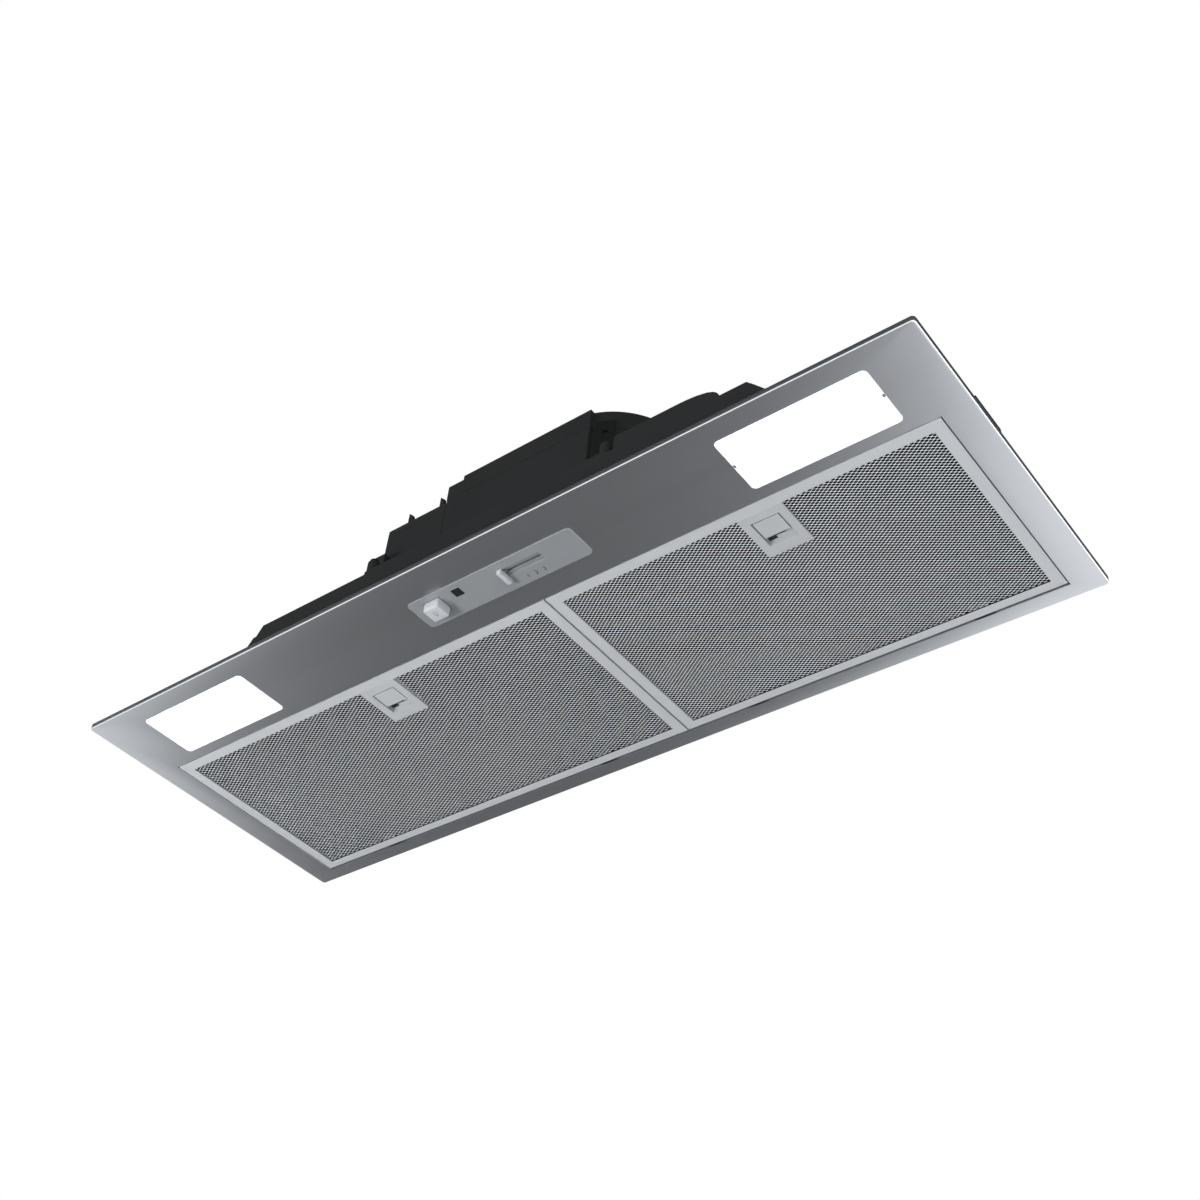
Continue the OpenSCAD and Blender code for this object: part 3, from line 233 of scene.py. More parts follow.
def mould_effect():
    """Fine spark texture of a moulded or painted face with a slow change of tone: two plain noises."""
    tree, given, out = finish_effect(
        "moulded_grain", ("Grain", (1600, 1600, 1600)), ("Patches", (14, 14, 14)), 0.5
    )
    fine = noise(tree, scaled_place(tree, given.outputs["Grain"]), 1.0)
    slow = noise(tree, scaled_place(tree, given.outputs["Patches"]), 3.0)
    finish_outputs(tree, given, out, slow, slow, fine)
    return tree


EFFECTS = {}
FINISHES = {}


def finish_of(name, group, tint, metallic, roughness, bump, fields=(), **sockets):
    """A material: one shared effect feeds colour, roughness and a bump, and constants sit on the shader.

    The bump is its strength and its distance, and fields are values for the effect's own inputs.
    """
    if name in FINISHES:
        return FINISHES[name]
    if group not in EFFECTS:
        EFFECTS[group] = grain_effect() if group == "drawn_grain" else mould_effect()
    material = bpy.data.materials.new(name)
    material.use_nodes = True
    tree = material.node_tree
    shader = tree.nodes["Principled BSDF"]
    shader.inputs["Metallic"].default_value = metallic
    for key, value in sockets.items():
        shader.inputs[key.replace("_", " ")].default_value = value
    made = tree.nodes.new("ShaderNodeGroup")
    made.node_tree = EFFECTS[group]
    made.inputs["Colour"].default_value = (*tint, 1.0)
    made.inputs["Roughness"].default_value = roughness
    for key, value in dict(fields).items():
        made.inputs[key].default_value = value
    link(tree, made.outputs["Colour"], shader.inputs["Base Color"])
    link(tree, made.outputs["Roughness"], shader.inputs["Roughness"])
    rise = node(tree, "ShaderNodeBump")
    rise.inputs["Strength"].default_value = bump[0]
    rise.inputs["Distance"].default_value = bump[1]
    link(tree, made.outputs["Height"], rise.inputs["Height"])
    link(tree, rise.outputs["Normal"], shader.inputs["Normal"])
    material.diffuse_color = (*tint, 1.0)
    FINISHES[name] = material
    return material


def colours():
    """The colours of this scene."""
    return bpy.context.scene.hood_colours


def sizes():
    """The sizes of this scene."""
    return bpy.context.scene.hood_sizes


def brushed_steel():
    return finish_of(
        "brushed_steel", "drawn_grain", colours().steel, 1.0, 0.31, (0.10, 0.0001),
        {"Lines": (5, 1500, 1500), "Streaks": (0.8, 70, 70), "Tone": 0.035, "Spread": 0.03},
    )


def satin_aluminium():
    return finish_of(
        "satin_aluminium", "drawn_grain", colours().filters, 0.22, 0.42, (0.12, 0.0001),
        {"Lines": (900, 900, 900), "Streaks": (9, 9, 9), "Tone": 0.05, "Spread": 0.05},
    )


def bright_mesh():
    return finish_of(
        "bright_mesh", "moulded_grain", colours().strands, 0.4, 0.42, (0.15, 0.0001),
        {"Grain": (900, 900, 900), "Patches": (7, 7, 7), "Tone": 0.10, "Spread": 0.07},
    )


# Painted shade: a near-black finish for the aluminium layers and backing inside the filters, where they lie
# in shadow.
def core_painted_shade():
    return finish_of(
        "core_painted_shade", "moulded_grain", colours().core, 0.5, 0.6, (0.2, 0.0002),
        {"Grain": (500, 500, 500), "Patches": (9, 9, 9), "Tone": 0.25},
    )


def charcoal_plastic():
    return finish_of(
        "charcoal_plastic", "moulded_grain", colours().plastic, 0.0, 0.55, (0.12, 0.00012),
        {"Patches": (11, 11, 11), "Tone": 0.12, "Spread": 0.07}, Specular_IOR_Level=0.16,
    )


def dark_plastic():
    darker = tuple(0.8 * c for c in colours().plastic)
    return finish_of(
        "dark_plastic", "moulded_grain", darker, 0.0, 0.42, (0.08, 0.0001),
        {"Patches": (20, 20, 20), "Tone": 0.10}, Specular_IOR_Level=0.35,
    )


def strip_plastic():
    return finish_of(
        "strip_plastic", "moulded_grain", colours().strip, 0.25, 0.36, (0.10, 0.00008),
        {"Grain": (2400, 2400, 2400), "Patches": (18, 18, 18), "Tone": 0.03, "Spread": 0.03},
    )


def key_plastic():
    return finish_of(
        "key_plastic", "moulded_grain", colours().keys, 0.0, 0.38, (0.08, 0.00008),
        {"Grain": (2600, 2600, 2600), "Patches": (30, 30, 30), "Tone": 0.03, "Spread": 0.04},
    )


def latch_finish():
    duller = tuple(0.76 * c for c in colours().filters)
    return finish_of(
        "latch_finish", "moulded_grain", duller, 0.0, 0.5, (0.10, 0.00008),
        {"Grain": (2000, 2000, 2000), "Patches": (25, 25, 25), "Tone": 0.03, "Spread": 0.04},
        Specular_IOR_Level=0.3,
    )


def window_plastic():
    return finish_of(
        "window_plastic", "moulded_grain", colours().window, 0.0, 0.12, (0.02, 0.00005),
        {"Tone": 0.1, "Spread": 0.02}, Specular_IOR_Level=0.5,
    )


def lit_lens():
    material = finish_of(
        "lit_lens", "moulded_grain", colours().lens, 0.0, 0.45, (0.05, 0.00008),
        {"Grain": (1800, 1800, 1800), "Patches": (16, 16, 16), "Tone": 0.01, "Spread": 0.03},
    )
    tree = material.node_tree
    group = next(n for n in tree.nodes if n.type == "GROUP")
    shader = tree.nodes["Principled BSDF"]
    link(tree, group.outputs["Colour"], shader.inputs["Emission Color"])
    shader.inputs["Emission Strength"].default_value = 0.32
    return material


def white_tray():
    return finish_of(
        "white_tray", "moulded_grain", (0.78, 0.78, 0.77), 0.0, 0.5, (0.08, 0.0001),
        {"Tone": 0.03, "Spread": 0.05},
    )


def zinc_plate():
    return finish_of(
        "zinc_plate", "moulded_grain", colours().zinc, 1.0, 0.3, (0.08, 0.0001),
        {"Grain": (1200, 1200, 1200), "Patches": (120, 120, 120), "Tone": 0.10, "Spread": 0.08},
    )


def spring_steel():
    return finish_of(
        "spring_steel", "drawn_grain", colours().spring, 0.9, 0.38, (0.10, 0.0001),
        {"Lines": (1500, 1500, 60), "Streaks": (60, 60, 6), "Tone": 0.10, "Spread": 0.06},
    )


def motor_paint():
    return finish_of(
        "motor_paint", "moulded_grain", colours().motor, 0.3, 0.42, (0.10, 0.0001),
        {"Grain": (1400, 1400, 1400), "Patches": (30, 30, 30), "Tone": 0.06, "Spread": 0.06},
    )


def mark_ink():
    return finish_of(
        "mark_ink", "moulded_grain", colours().ink, 0.0, 0.5, (0.03, 0.00005),
        {"Grain": (2600, 2600, 2600), "Patches": (200, 200, 200), "Tone": 0.15},
    )


# A grey darker than the strip: on the slot lining it is painted shade of the recess, on the lens catches
# their own colour.
def slot_grey():
    return finish_of(
        "slot_grey", "moulded_grain", (0.19, 0.197, 0.205), 0.0, 0.6, (0.10, 0.0001),
        {"Grain": (1500, 1500, 1500), "Patches": (40, 40, 40), "Tone": 0.06},
    )


def black_oxide():
    return finish_of(
        "black_oxide", "moulded_grain", (0.02, 0.0205, 0.021), 0.6, 0.42, (0.06, 0.0001),
        {"Grain": (1200, 1200, 1200), "Patches": (90, 90, 90), "Tone": 0.15},
    )


def board_lacquer():
    return finish_of(
        "board_lacquer", "moulded_grain", (0.02, 0.13, 0.055), 0.0, 0.35, (0.06, 0.00008),
        {"Patches": (90, 90, 90), "Tone": 0.12}, Coat_Weight=0.3,
    )


def soft_rubber():
    return finish_of(
        "soft_rubber", "moulded_grain", (0.012, 0.012, 0.012), 0.0, 0.75, (0.15, 0.0001),
        {"Tone": 0.1}, Specular_IOR_Level=0.3,
    )


# ---- building ----


def dress(material, *names):
    """Gives CAD nodes a finish on their own material slots."""
    for name in names:
        data = NODES[name].data
        if not data.materials:
            data.materials.append(material)
        for i in range(len(data.materials)):
            data.materials[i] = material


def surface(name, points, faces, body, material, slot, smooth=True):
    """A mesh from whole arrays: points is (n, 3), faces is (m, k) with one k."""
    mesh = bpy.data.meshes.new(name)
    points, faces = np.asarray(points, np.float32), np.asarray(faces, np.int32)
    mesh.vertices.add(len(points))
    mesh.vertices.foreach_set("co", points.ravel())
    mesh.loops.add(faces.size)
    mesh.loops.foreach_set("vertex_index", faces.ravel())
    mesh.polygons.add(len(faces))
    mesh.polygons.foreach_set("loop_start", np.arange(len(faces), dtype=np.int32) * faces.shape[1])
    mesh.polygons.foreach_set("use_smooth", np.full(len(faces), smooth))
    mesh.update(calc_edges=True)
    if mesh.validate():
        raise RuntimeError(name + " has faces that don't hold")
    mesh.materials.append(material)
    made = bpy.data.objects.new(name, mesh)
    bpy.context.scene.collection.objects.link(made)
    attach(made, body)
    return made


def merged(points, faces):
    """Joins points that fall on the same tenth of a micron, and drops nothing else."""
    keys = np.round(points * 1e7).astype(np.int64)
    _, first, back = np.unique(keys, axis=0, return_index=True, return_inverse=True)
    return points[first], back.reshape(-1)[faces]


def folded_rim(work, low, high, radius):
    """The outer fold of a tray: the loop where its face meets its sides gets one wide round."""
    same_height, corner_sag, upright = 2e-5, 1.6 * MM, 0.2

    def outer(point):
        gaps = [min(point[k] - low[k], high[k] - point[k]) for k in (0, 1)]
        return abs(point.z - low[2]) < same_height and min(gaps) < corner_sag

    folds = [
        edge for edge in work.edges
        if all(outer(v.co) for v in edge.verts) and len(edge.link_faces) == 2
        and any(abs(face.normal.z) < upright for face in edge.link_faces)
    ]
    if len(folds) < 4:
        raise RuntimeError("the plate's outer fold was not found")
    bmesh.ops.bevel(work, geom=folds, offset=radius, offset_type="OFFSET", segments=6, profile=0.5,
                    affect="EDGES", clamp_overlap=False)


def softened(name, width, material, body, rim=None, gap=0.0, inner=None):
    """A merged copy of a CAD node whose sharp edges get a narrow round, which then stands for the node.

    A rim is the radius of the outer fold. A gap draws the copy in on all four sides: x and y
    shrink about the middle by twice the gap. Inner is a height and a material for the faces
    that lie above it and more than a wall in from the outer sides.
    """
    sharp, flat, weld, wall = 0.6, 0.01, 2e-6, 2.5 * MM
    mesh = NODES[name].data.copy()
    work = bmesh.new()
    work.from_mesh(mesh)
    bmesh.ops.remove_doubles(work, verts=work.verts, dist=weld)
    bmesh.ops.dissolve_limit(work, angle_limit=flat, verts=work.verts, edges=work.edges)
    low, high = box_of(name)
    for axis in (0, 1):
        middle, share = (low[axis] + high[axis]) / 2, 1 - 2 * gap / (high[axis] - low[axis])
        for vertex in work.verts:
            vertex.co[axis] = middle + share * (vertex.co[axis] - middle)
    if rim is not None:
        folded_rim(work, low, high, rim)
    for face in work.faces:
        face.smooth = True
    for edge in work.edges:
        edge.smooth = len(edge.link_faces) == 2 and edge.calc_face_angle(0.0) < sharp
    work.to_mesh(mesh)
    work.free()
    mesh.materials.clear()
    mesh.materials.append(material)
    if inner is not None:
        mesh.materials.append(inner[1])
        for face in mesh.polygons:
            clear = min(min(face.center[k] - low[k], high[k] - face.center[k]) for k in (0, 1))
            face.material_index = int(face.center.z > inner[0] and clear > wall)
    made = bpy.data.objects.new(name + "_finished", mesh)
    bpy.context.scene.collection.objects.link(made)
    bevel = made.modifiers.new("edge_round", "BEVEL")
    bevel.width = width
    bevel.segments = 2
    bevel.limit_method = "ANGLE"
    bevel.angle_limit = sharp
    bevel.use_clamp_overlap = True
    bevel.harden_normals = True
    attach(made, body)
    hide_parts(name)
    return made


# a tile's corners and the middles of its sides, in half pitches, once round
RHOMBUS = np.array(
    [[1, 0], [0.5, 0.5], [0, 1], [-0.5, 0.5], [-1, 0], [-0.5, -0.5], [0, -1], [0.5, -0.5]]
)


def expanded_sheet(low, high, long_pitch, short_pitch, strand, near, depth, keep):
    """An expanded sheet as rhombic tiles: a tile's rim is the ridge, its eight-point hole the low edge.

    Hole centres lie on a grid of half pitches, every second row moved by half
    a long pitch. A tile's corners are half a pitch from its centre on each
    axis, so that neighbours share them. A hole's four middle points lie out
    past the straight line between its tips by the bulge. keep(x, y) says
    which tiles stay.
    """
    bulge = (0.56, 0.62)
    columns = int((high[0] - low[0]) / long_pitch) - 1
    rows = int((high[1] - low[1]) / (short_pitch / 2)) - 2
    i, j = np.meshgrid(np.arange(columns), np.arange(rows), indexing="ij")
    start_x = (low[0] + high[0]) / 2 - (columns - 0.5) * long_pitch / 2
    start_y = (low[1] + high[1]) / 2 - (rows - 1) * short_pitch / 4
    x = (start_x + (i + 0.5 * (j % 2)) * long_pitch).ravel()
    y = (start_y + j * short_pitch / 2).ravel()
    stay = keep(x, y)
    x, y = x[stay], y[stay]
    a, b = long_pitch / 2, short_pitch / 2
    rim = RHOMBUS * (a, b)
    slope = np.hypot(a, b)
    tips = (a - strand * slope / b / 2, b - strand * slope / a / 2)
    hole = np.where(abs(RHOMBUS) == 0.5, np.sign(RHOMBUS) * bulge, RHOMBUS) * tips
    flat = np.concatenate([rim, hole])
    rise = np.concatenate([np.full(8, near), np.full(8, near + depth)])
    points = np.empty((len(x), 16, 3))
    points[:, :, 0] = x[:, None] + flat[None, :, 0]
    points[:, :, 1] = y[:, None] + flat[None, :, 1]
    points[:, :, 2] = rise[None, :]
    k = np.arange(8)
    ring = np.stack([k, k + 8, (k + 1) % 8 + 8, (k + 1) % 8], axis=1)
    faces = (ring[None, :, :] + 16 * np.arange(len(x))[:, None, None]).reshape(-1, 4)
    return merged(points.reshape(-1, 3), faces)


def rounded_key(centre, half, top, bottom, corner, edge, draft):
    """A key that tapers to its face: a rounded rectangle carried along a side line and a quarter turn.

    A section's half sizes shrink by the draft times the way from the root,
    then by edge * (1 - cos t) while the height runs on by edge * sin t.
    Each corner is a quarter circle. The face closes the last section.
    """
    around, over, least = 12, 6, 0.15 * MM
    t = np.linspace(0, np.pi / 2, over)
    side = np.linspace(top, bottom + edge, 4)
    z = np.concatenate([side, bottom + edge - edge * np.sin(t[1:])])
    shrink = np.concatenate([draft * (top - side) / (top - bottom), draft + edge * (1 - np.cos(t[1:]))])
    turn = np.linspace(0, np.pi / 2, around)
    angle = np.concatenate([turn + q * np.pi / 2 for q in range(4)])
    sign_x = np.repeat([1, -1, -1, 1], around)
    sign_y = np.repeat([1, 1, -1, -1], around)
    r = np.maximum(corner - shrink, least)[:, None]
    hx, hy = (half[0] - shrink)[:, None], (half[1] - shrink)[:, None]
    px = centre[0] + sign_x[None] * (hx - r) + r * np.cos(angle)[None]
    py = centre[1] + sign_y[None] * (hy - r) + r * np.sin(angle)[None]
    ring = np.stack([px, py, np.broadcast_to(z[:, None], px.shape)], axis=-1)
    n = ring.shape[1]
    ends = [[centre[0], centre[1], bottom], [centre[0], centre[1], top]]
    points = np.concatenate([ring.reshape(-1, 3), ends])
    s, k = np.meshgrid(np.arange(len(z) - 1), np.arange(n), indexing="ij")
    s, k = s.ravel(), k.ravel()
    nxt = (k + 1) % n
    quads = np.stack([s * n + k, (s + 1) * n + k, (s + 1) * n + nxt, s * n + nxt], axis=1)
    k = np.arange(n)
    last = (len(z) - 1) * n
    tris = np.concatenate([
        np.stack([last + k, np.full(n, len(points) - 2), last + (k + 1) % n], axis=1),
        np.stack([(k + 1) % n, np.full(n, len(points) - 1), k], axis=1),
    ])
    split = np.concatenate([quads[:, [0, 1, 2]], quads[:, [0, 2, 3]], tris])
    return points, split


def ribbon(path, width, z):
    """A flat line of one width: each point moves half the width to both sides along its normal."""
    path = np.asarray(path, float)
    way = np.gradient(path, axis=0)
    way /= np.linalg.norm(way, axis=1)[:, None]
    off = np.stack([-way[:, 1], way[:, 0]], axis=1) * width / 2
    n = len(path)
    points = np.zeros((2 * n, 3))
    points[:n, :2], points[n:, :2], points[:, 2] = path + off, path - off, z
    k = np.arange(n - 1)
    return points, np.stack([k, k + 1, k + 1 + n, k + n], axis=1)


def joined(parts):
    """Several (points, faces) pairs as one."""
    start = np.cumsum([0] + [len(p) for p, _ in parts[:-1]])
    faces = [f + first for (_, f), first in zip(parts, start)]
    return np.concatenate([p for p, _ in parts]), np.concatenate(faces)


def arc(y, radius, start, end, count=14):
    """Points on a circle about (0, y) from one angle to another, in degrees."""
    t = np.radians(np.linspace(start, end, count))
    return np.stack([radius * np.cos(t), y + radius * np.sin(t)], axis=1)


def patch(spans, z):
    """Flat rectangles at one height that face down: x from and to, y from and to."""
    points, faces = [], []
    for x0, x1, y0, y1 in spans:
        faces.append([len(points) + k for k in range(4)])
        points += [(x0, y0, z), (x0, y1, z), (x1, y1, z), (x1, y0, z)]
    return np.array(points, float), np.array(faces)


def digit(value, place, height, z):
    """A printed 1, 2 or 3: strokes on a grid one unit high, as ribbons; up on the face is -Y."""
    stroke_share = 0.2
    strokes = {
        1: [[(-0.18, 0.78), (0.02, 1.0)], [(0.02, 1.0), (0.02, 0.0)]],
        2: [np.concatenate([arc(0.73, 0.27, 165, -35), [(-0.28, 0.0)]]), [(-0.28, 0.0), (0.3, 0.0)]],
        3: [arc(0.755, 0.245, 150, -90), arc(0.26, 0.26, 90, -150)],
    }[value]
    parts = []
    for stroke in strokes:
        path = np.asarray(stroke, float) * height
        placed = np.stack([place[0] + path[:, 0], place[1] - path[:, 1]], axis=1)
        parts.append(ribbon(placed[::-1], stroke_share * height, z))
    return joined(parts)


def lamp_sign(centre, z):
    """A lamp sign: a bulb's ring, its foot and three rays, as ribbons."""
    up = np.array([1.0, -1.0])
    stroke, bulb_y, bulb_r = 0.35 * MM, 0.3 * MM, 1.5 * MM
    foot_half, foot_rows = 0.8 * MM, (-1.7 * MM, -2.4 * MM)
    ray_near, ray_far = 2.3 * MM, 3.3 * MM
    parts = [ribbon(centre + up * arc(bulb_y, bulb_r, 300, -60, 25), stroke, z)]
    for y in foot_rows:
        parts.append(ribbon(centre + up * np.array([(foot_half, y), (-foot_half, y)]), stroke, z))
    for t in np.radians((40, 90, 140)):
        way = np.array([np.cos(t), np.sin(t)])
        ray = np.array([way * ray_far, way * ray_near]) + (0, bulb_y)
        parts.append(ribbon(centre + up * ray, stroke, z))
    return joined(parts)


def box_of(name):
    """A node's box in metres as two arrays."""
    low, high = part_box(name)
    return np.array(low), np.array(high)


# ---- operators ----


class HOOD_OT_face_plate(bpy.types.Operator):
    """Face plate with softly folded edges and a brushed finish"""

    bl_idname = "hood.face_plate"
    bl_label = "Face plate"

    def execute(self, context):
        s = sizes()
        softened("face_plate", 0.6 * s.fold, brushed_steel(), "hood", rim=s.rim)
        dress(zinc_plate(), "plate_rivets")
        return {"FINISHED"}


class HOOD_OT_filters(bpy.types.Operator):
    """Both grease filters: folded frames, fine mesh and inner layers"""

    bl_idname = "hood.filters"
    bl_label = "Grease filters"

    def execute(self, context):
        s = sizes()
        slot = "filter_aluminium"
        frame_gap, sheet_lift, sheet_depth = 0.35 * MM, 0.35 * MM, 0.1 * MM
        layer_first, layer_step, layer_depth = 2.2 * MM, 1.9 * MM, 0.7 * MM
        layer_shift = np.array([2 * MM, 1.5 * MM, 0])
        for side in ("left", "right"):
            body = "filter_" + side
            low, high = box_of("filter_mesh_" + side)
            # the frame's faces inside the filter, above the mesh and in from the sides, get the core's
            # finish as painted shade
            softened(
                "filter_frame_" + side, s.fold, satin_aluminium(), body,
                gap=frame_gap, inner=(high[2], core_painted_shade()),
            )
            plate_low, plate_high = box_of("latch_plate_" + side)
            pins_front = box_of("filter_pins_" + side)[0][1]
            middle, half = (plate_low[0] + plate_high[0]) / 2, (plate_high[0] - plate_low[0]) / 2

            def keep(x, y):
                return ~((abs(x - middle) < half - 1.2 * MM) & (y < plate_high[1] - 1.5 * MM))

            def keep_inner(x, y):
                latch = (abs(x - middle) < half + 3.5 * MM) & (y < plate_high[1] + 4 * MM)
                return ~(latch | (y > pins_front - 4 * MM))

            pitch = (high[0] - low[0]) / s.mesh_count
            points, faces = expanded_sheet(
                low, high, pitch, s.mesh_short, s.strand, low[2] + sheet_lift, sheet_depth, keep
            )
            mesh = surface("expanded_mesh_" + side, points, faces, body, bright_mesh(), slot, False)
            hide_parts("filter_mesh_" + side)
            # the inner layers wear the core's painted shade
            points, faces = joined([
                expanded_sheet(
                    low + i * layer_shift, high, s.core_long, s.core_short, 1.3 * s.strand,
                    low[2] + layer_first + layer_step * i, layer_depth, keep_inner,
                )
                for i in range(3)
            ])
            core = surface("filter_layers_" + side, points, faces, body, core_painted_shade(), slot, False)
            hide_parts("filter_core_" + side)
            # the backing wears the core's painted shade too
            dress(core_painted_shade(), "filter_backing_" + side)
            dress(spring_steel(), "filter_pins_" + side)
        dress(spring_steel(), "filter_hooks")
        return {"FINISHED"}


class HOOD_OT_latches(bpy.types.Operator):
    """Latch plates, sliding flaps, tongues and springs"""

    bl_idname = "hood.latches"
    bl_label = "Latches"

    def execute(self, context):
        flap_gap, floor_rise = 0.85 * MM, 3.9 * MM
        for side in ("left", "right"):
            latch, carrier = "latch_" + side, "filter_" + side
            softened("latch_plate_" + side, 0.2 * MM, latch_finish(), carrier)
            softened("latch_flap_" + side, 0.15 * MM, latch_finish(), latch, gap=flap_gap)
            dress(spring_steel(), "latch_tongue_" + side, "latch_spring_" + side)
            low, high = box_of("latch_flap_" + side)
            floor = box_of("latch_plate_" + side)[0][2] + floor_rise
            # a dark patch on the pocket's floor beside the flap's neck, painted shade where the pocket
            # should look open and deep; it stays clear of the flap over its whole travel
            left, right = low[0] + 0.3 * MM, (low[0] + high[0]) / 2 - 4 * MM
            dark = patch([(left, right, high[1] - 2 * MM, high[1] + 6.1 * MM)], floor)
            surface("latch_pocket_shade_" + side, *dark, carrier, dark_plastic(), "dark_plastic", False)
        return {"FINISHED"}


class HOOD_OT_lamps(bpy.types.Operator):
    """Lit lenses with their trays and light boards"""

    bl_idname = "hood.lamps"
    bl_label = "Lamps"

    def execute(self, context):
        for side in ("left", "right"):
            softened("lamp_lens_" + side, 0.25 * MM, lit_lens(), "hood")
            dress(white_tray(), "lamp_housing_" + side, "lamp_board_" + side)
        # only the right lens shows a small catch at each short end
        low, high = box_of("lamp_lens_right")
        y, inset, half = (low[1] + high[1]) / 2, MM, (0.9 * MM, 1.3 * MM)
        root, tip = low[2] + 0.4 * MM, low[2] - 0.1 * MM
        catches = [
            rounded_key((x, y), half, root, tip, 0.5 * MM, 0.1 * MM, 0)
            for x in (low[0] + inset, high[0] - inset)
        ]
        surface("lens_catches", *joined(catches), "hood", slot_grey(), "dark_plastic")
        return {"FINISHED"}


class HOOD_OT_controls(bpy.types.Operator):
    """Control strip with its lamp button, window, speed knob and marks"""

    bl_idname = "hood.controls"
    bl_label = "Controls"

    def execute(self, context):
        s = sizes()
        softened("control_bezel", 0.25 * MM, strip_plastic(), "hood")
        dress(window_plastic(), "indicator_window")
        dress(dark_plastic(), "control_housing")
        dress(strip_plastic(), "speed_switch")
        dress(board_lacquer(), "control_board")
        dress(spring_steel(), "button_spring")
        face = box_of("control_bezel")[0][2]
        print_z = 0.03 * MM
        low, high = box_of("light_button")
        centre, half = (low + high)[:2] / 2, (high - low)[:2] / 2
        edge = s.key_edge
        # the key itself, its flange behind the strip and its round stem
        points, faces = joined([
            rounded_key(centre, half - MM, face + 1.5 * MM, low[2], 1.6 * MM, edge, 0.3 * MM),
            rounded_key(centre, half, face + 2.9 * MM, face + 1.9 * MM, 0.6 * MM, 0.2 * MM, 0),
            rounded_key(centre, (2.5 * MM, 2.5 * MM), high[2], face + 1.5 * MM, 2.5 * MM, 0.2 * MM, 0),
        ])
        key = surface("light_button_cap", points, faces, "lamp_key", key_plastic(), "key_plastic")
        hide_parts("light_button")
        sign = lamp_sign(centre, low[2] - print_z)
        surface("light_button_sign", *sign, "lamp_key", mark_ink(), "dark_plastic", False)
        low, high = box_of("fan_speed_knob")
        centre, half = (low + high)[:2] / 2, (high - low)[:2] / 2
        slot_low, slot_high = box_of("speed_switch")
        track = (slot_low[1] + slot_high[1]) / 2
        on_track = (centre[0], track)
        # the knob itself, its neck in the slot and its foot inside the switch
        points, faces = joined([
            rounded_key(centre, half, face - 0.3 * MM, low[2], 0.9 * MM, 0.7 * edge, 0.3 * MM),
            rounded_key(on_track, (1.5 * MM, 0.8 * MM), high[2], low[2] + MM, 0.4 * MM, 0.1 * MM, 0),
            rounded_key(on_track, (half[0], 4.1 * MM), high[2], high[2] - MM, 0.5 * MM, 0.1 * MM, 0),
        ])
        knob = surface("fan_speed_cap", points, faces, "speed_key", key_plastic(), "key_plastic")
        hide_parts("fan_speed_knob")
        # a lining across the slot on both sides of the knob's neck; its grey, darker than the strip, is
        # painted shade of the recess
        lining_z, lining_gap, neck_room = face + 1.46 * MM, 0.2 * MM, 1.1 * MM
        left, right = slot_low[0] + lining_gap, slot_high[0] - lining_gap
        sides = [
            (left, right, slot_low[1] + lining_gap, track - neck_room),
            (left, right, track + neck_room, slot_high[1] - lining_gap),
        ]
        surface("slot_lining_shade", *patch(sides, lining_z), "hood", slot_grey(), "dark_plastic", False)
        first_mark, mark_step = slot_low[0] + 17.4 * MM, 7.4 * MM
        mark_y = slot_high[1] + 9.4 * MM
        marks = [
            digit(i + 1, (first_mark + mark_step * i, mark_y), s.mark, face - print_z) for i in range(3)
        ]
        surface("fan_speed_marks", *joined(marks), "hood", mark_ink(), "dark_plastic", False)
        return {"FINISHED"}


class HOOD_OT_air_box(bpy.types.Operator):
    """Charcoal air box over the plate"""

    bl_idname = "hood.air_box"
    bl_label = "Air box"

    def execute(self, context):
        softened("air_box", sizes().mould, charcoal_plastic(), "hood")
        return {"FINISHED"}


class HOOD_OT_blower(bpy.types.Operator):
    """Blower base, casing, cover, wheel and motor"""

    bl_idname = "hood.blower"
    bl_label = "Blower"

    def execute(self, context):
        for name in ("blower_base", "blower_casing", "blower_cover"):
            softened(name, sizes().mould, charcoal_plastic(), "hood")
        dress(black_oxide(), "cover_clips", "casing_screws")
        dress(zinc_plate(), "wheel_nut", "motor_shaft", "motor_screws")
        dress(dark_plastic(), "fan_wheel")
        dress(motor_paint(), "motor")
        dress(soft_rubber(), "motor_grommets")
        return {"FINISHED"}


class HOOD_OT_outlet(bpy.types.Operator):
    """Duct collar with its two flaps"""

    bl_idname = "hood.outlet"
    bl_label = "Outlet"

    def execute(self, context):
        softened("outlet_collar", 0.5 * MM, charcoal_plastic(), "hood")
        dress(motor_paint(), "flap_front", "flap_rear")
        dress(zinc_plate(), "flap_pin")
        return {"FINISHED"}


class HOOD_OT_electrics(bpy.types.Operator):
    """Terminal box, gland, capacitor and lamp driver"""

    bl_idname = "hood.electrics"
    bl_label = "Electrics"

    def execute(self, context):
        for name, slot in (
            ("terminal_box", "housing_plastic"),
            ("terminal_lid", "housing_plastic"),
            ("lamp_driver", "dark_plastic"),
        ):
            softened(name, sizes().mould, charcoal_plastic(), "hood")
        dress(dark_plastic(), "cable_gland")
        dress(white_tray(), "terminal_block", "run_capacitor")
        return {"FINISHED"}


class HOOD_OT_side_clips(bpy.types.Operator):
    """Spring clips at the ends of the air box"""

    bl_idname = "hood.side_clips"
    bl_label = "Side clips"

    def execute(self, context):
        dress(spring_steel(), "side_clip_left", "side_clip_right")
        dress(zinc_plate(), "clip_rivets")
        return {"FINISHED"}


# ---- stage ----


def lamp(name, place, size, watts):
    """A soft rectangular lamp that looks at the middle of the hood."""
    data = bpy.data.lights.new(name, "AREA")
    data.shape = "RECTANGLE"
    data.size, data.size_y = size
    data.energy = watts
    made = bpy.data.objects.new(name, data)
    made.location = place
    made.rotation_mode = "QUATERNION"
    made.rotation_quaternion = (-Vector(place)).to_track_quat("-Z", "Y")
    bpy.context.scene.collection.objects.link(made)
    return made


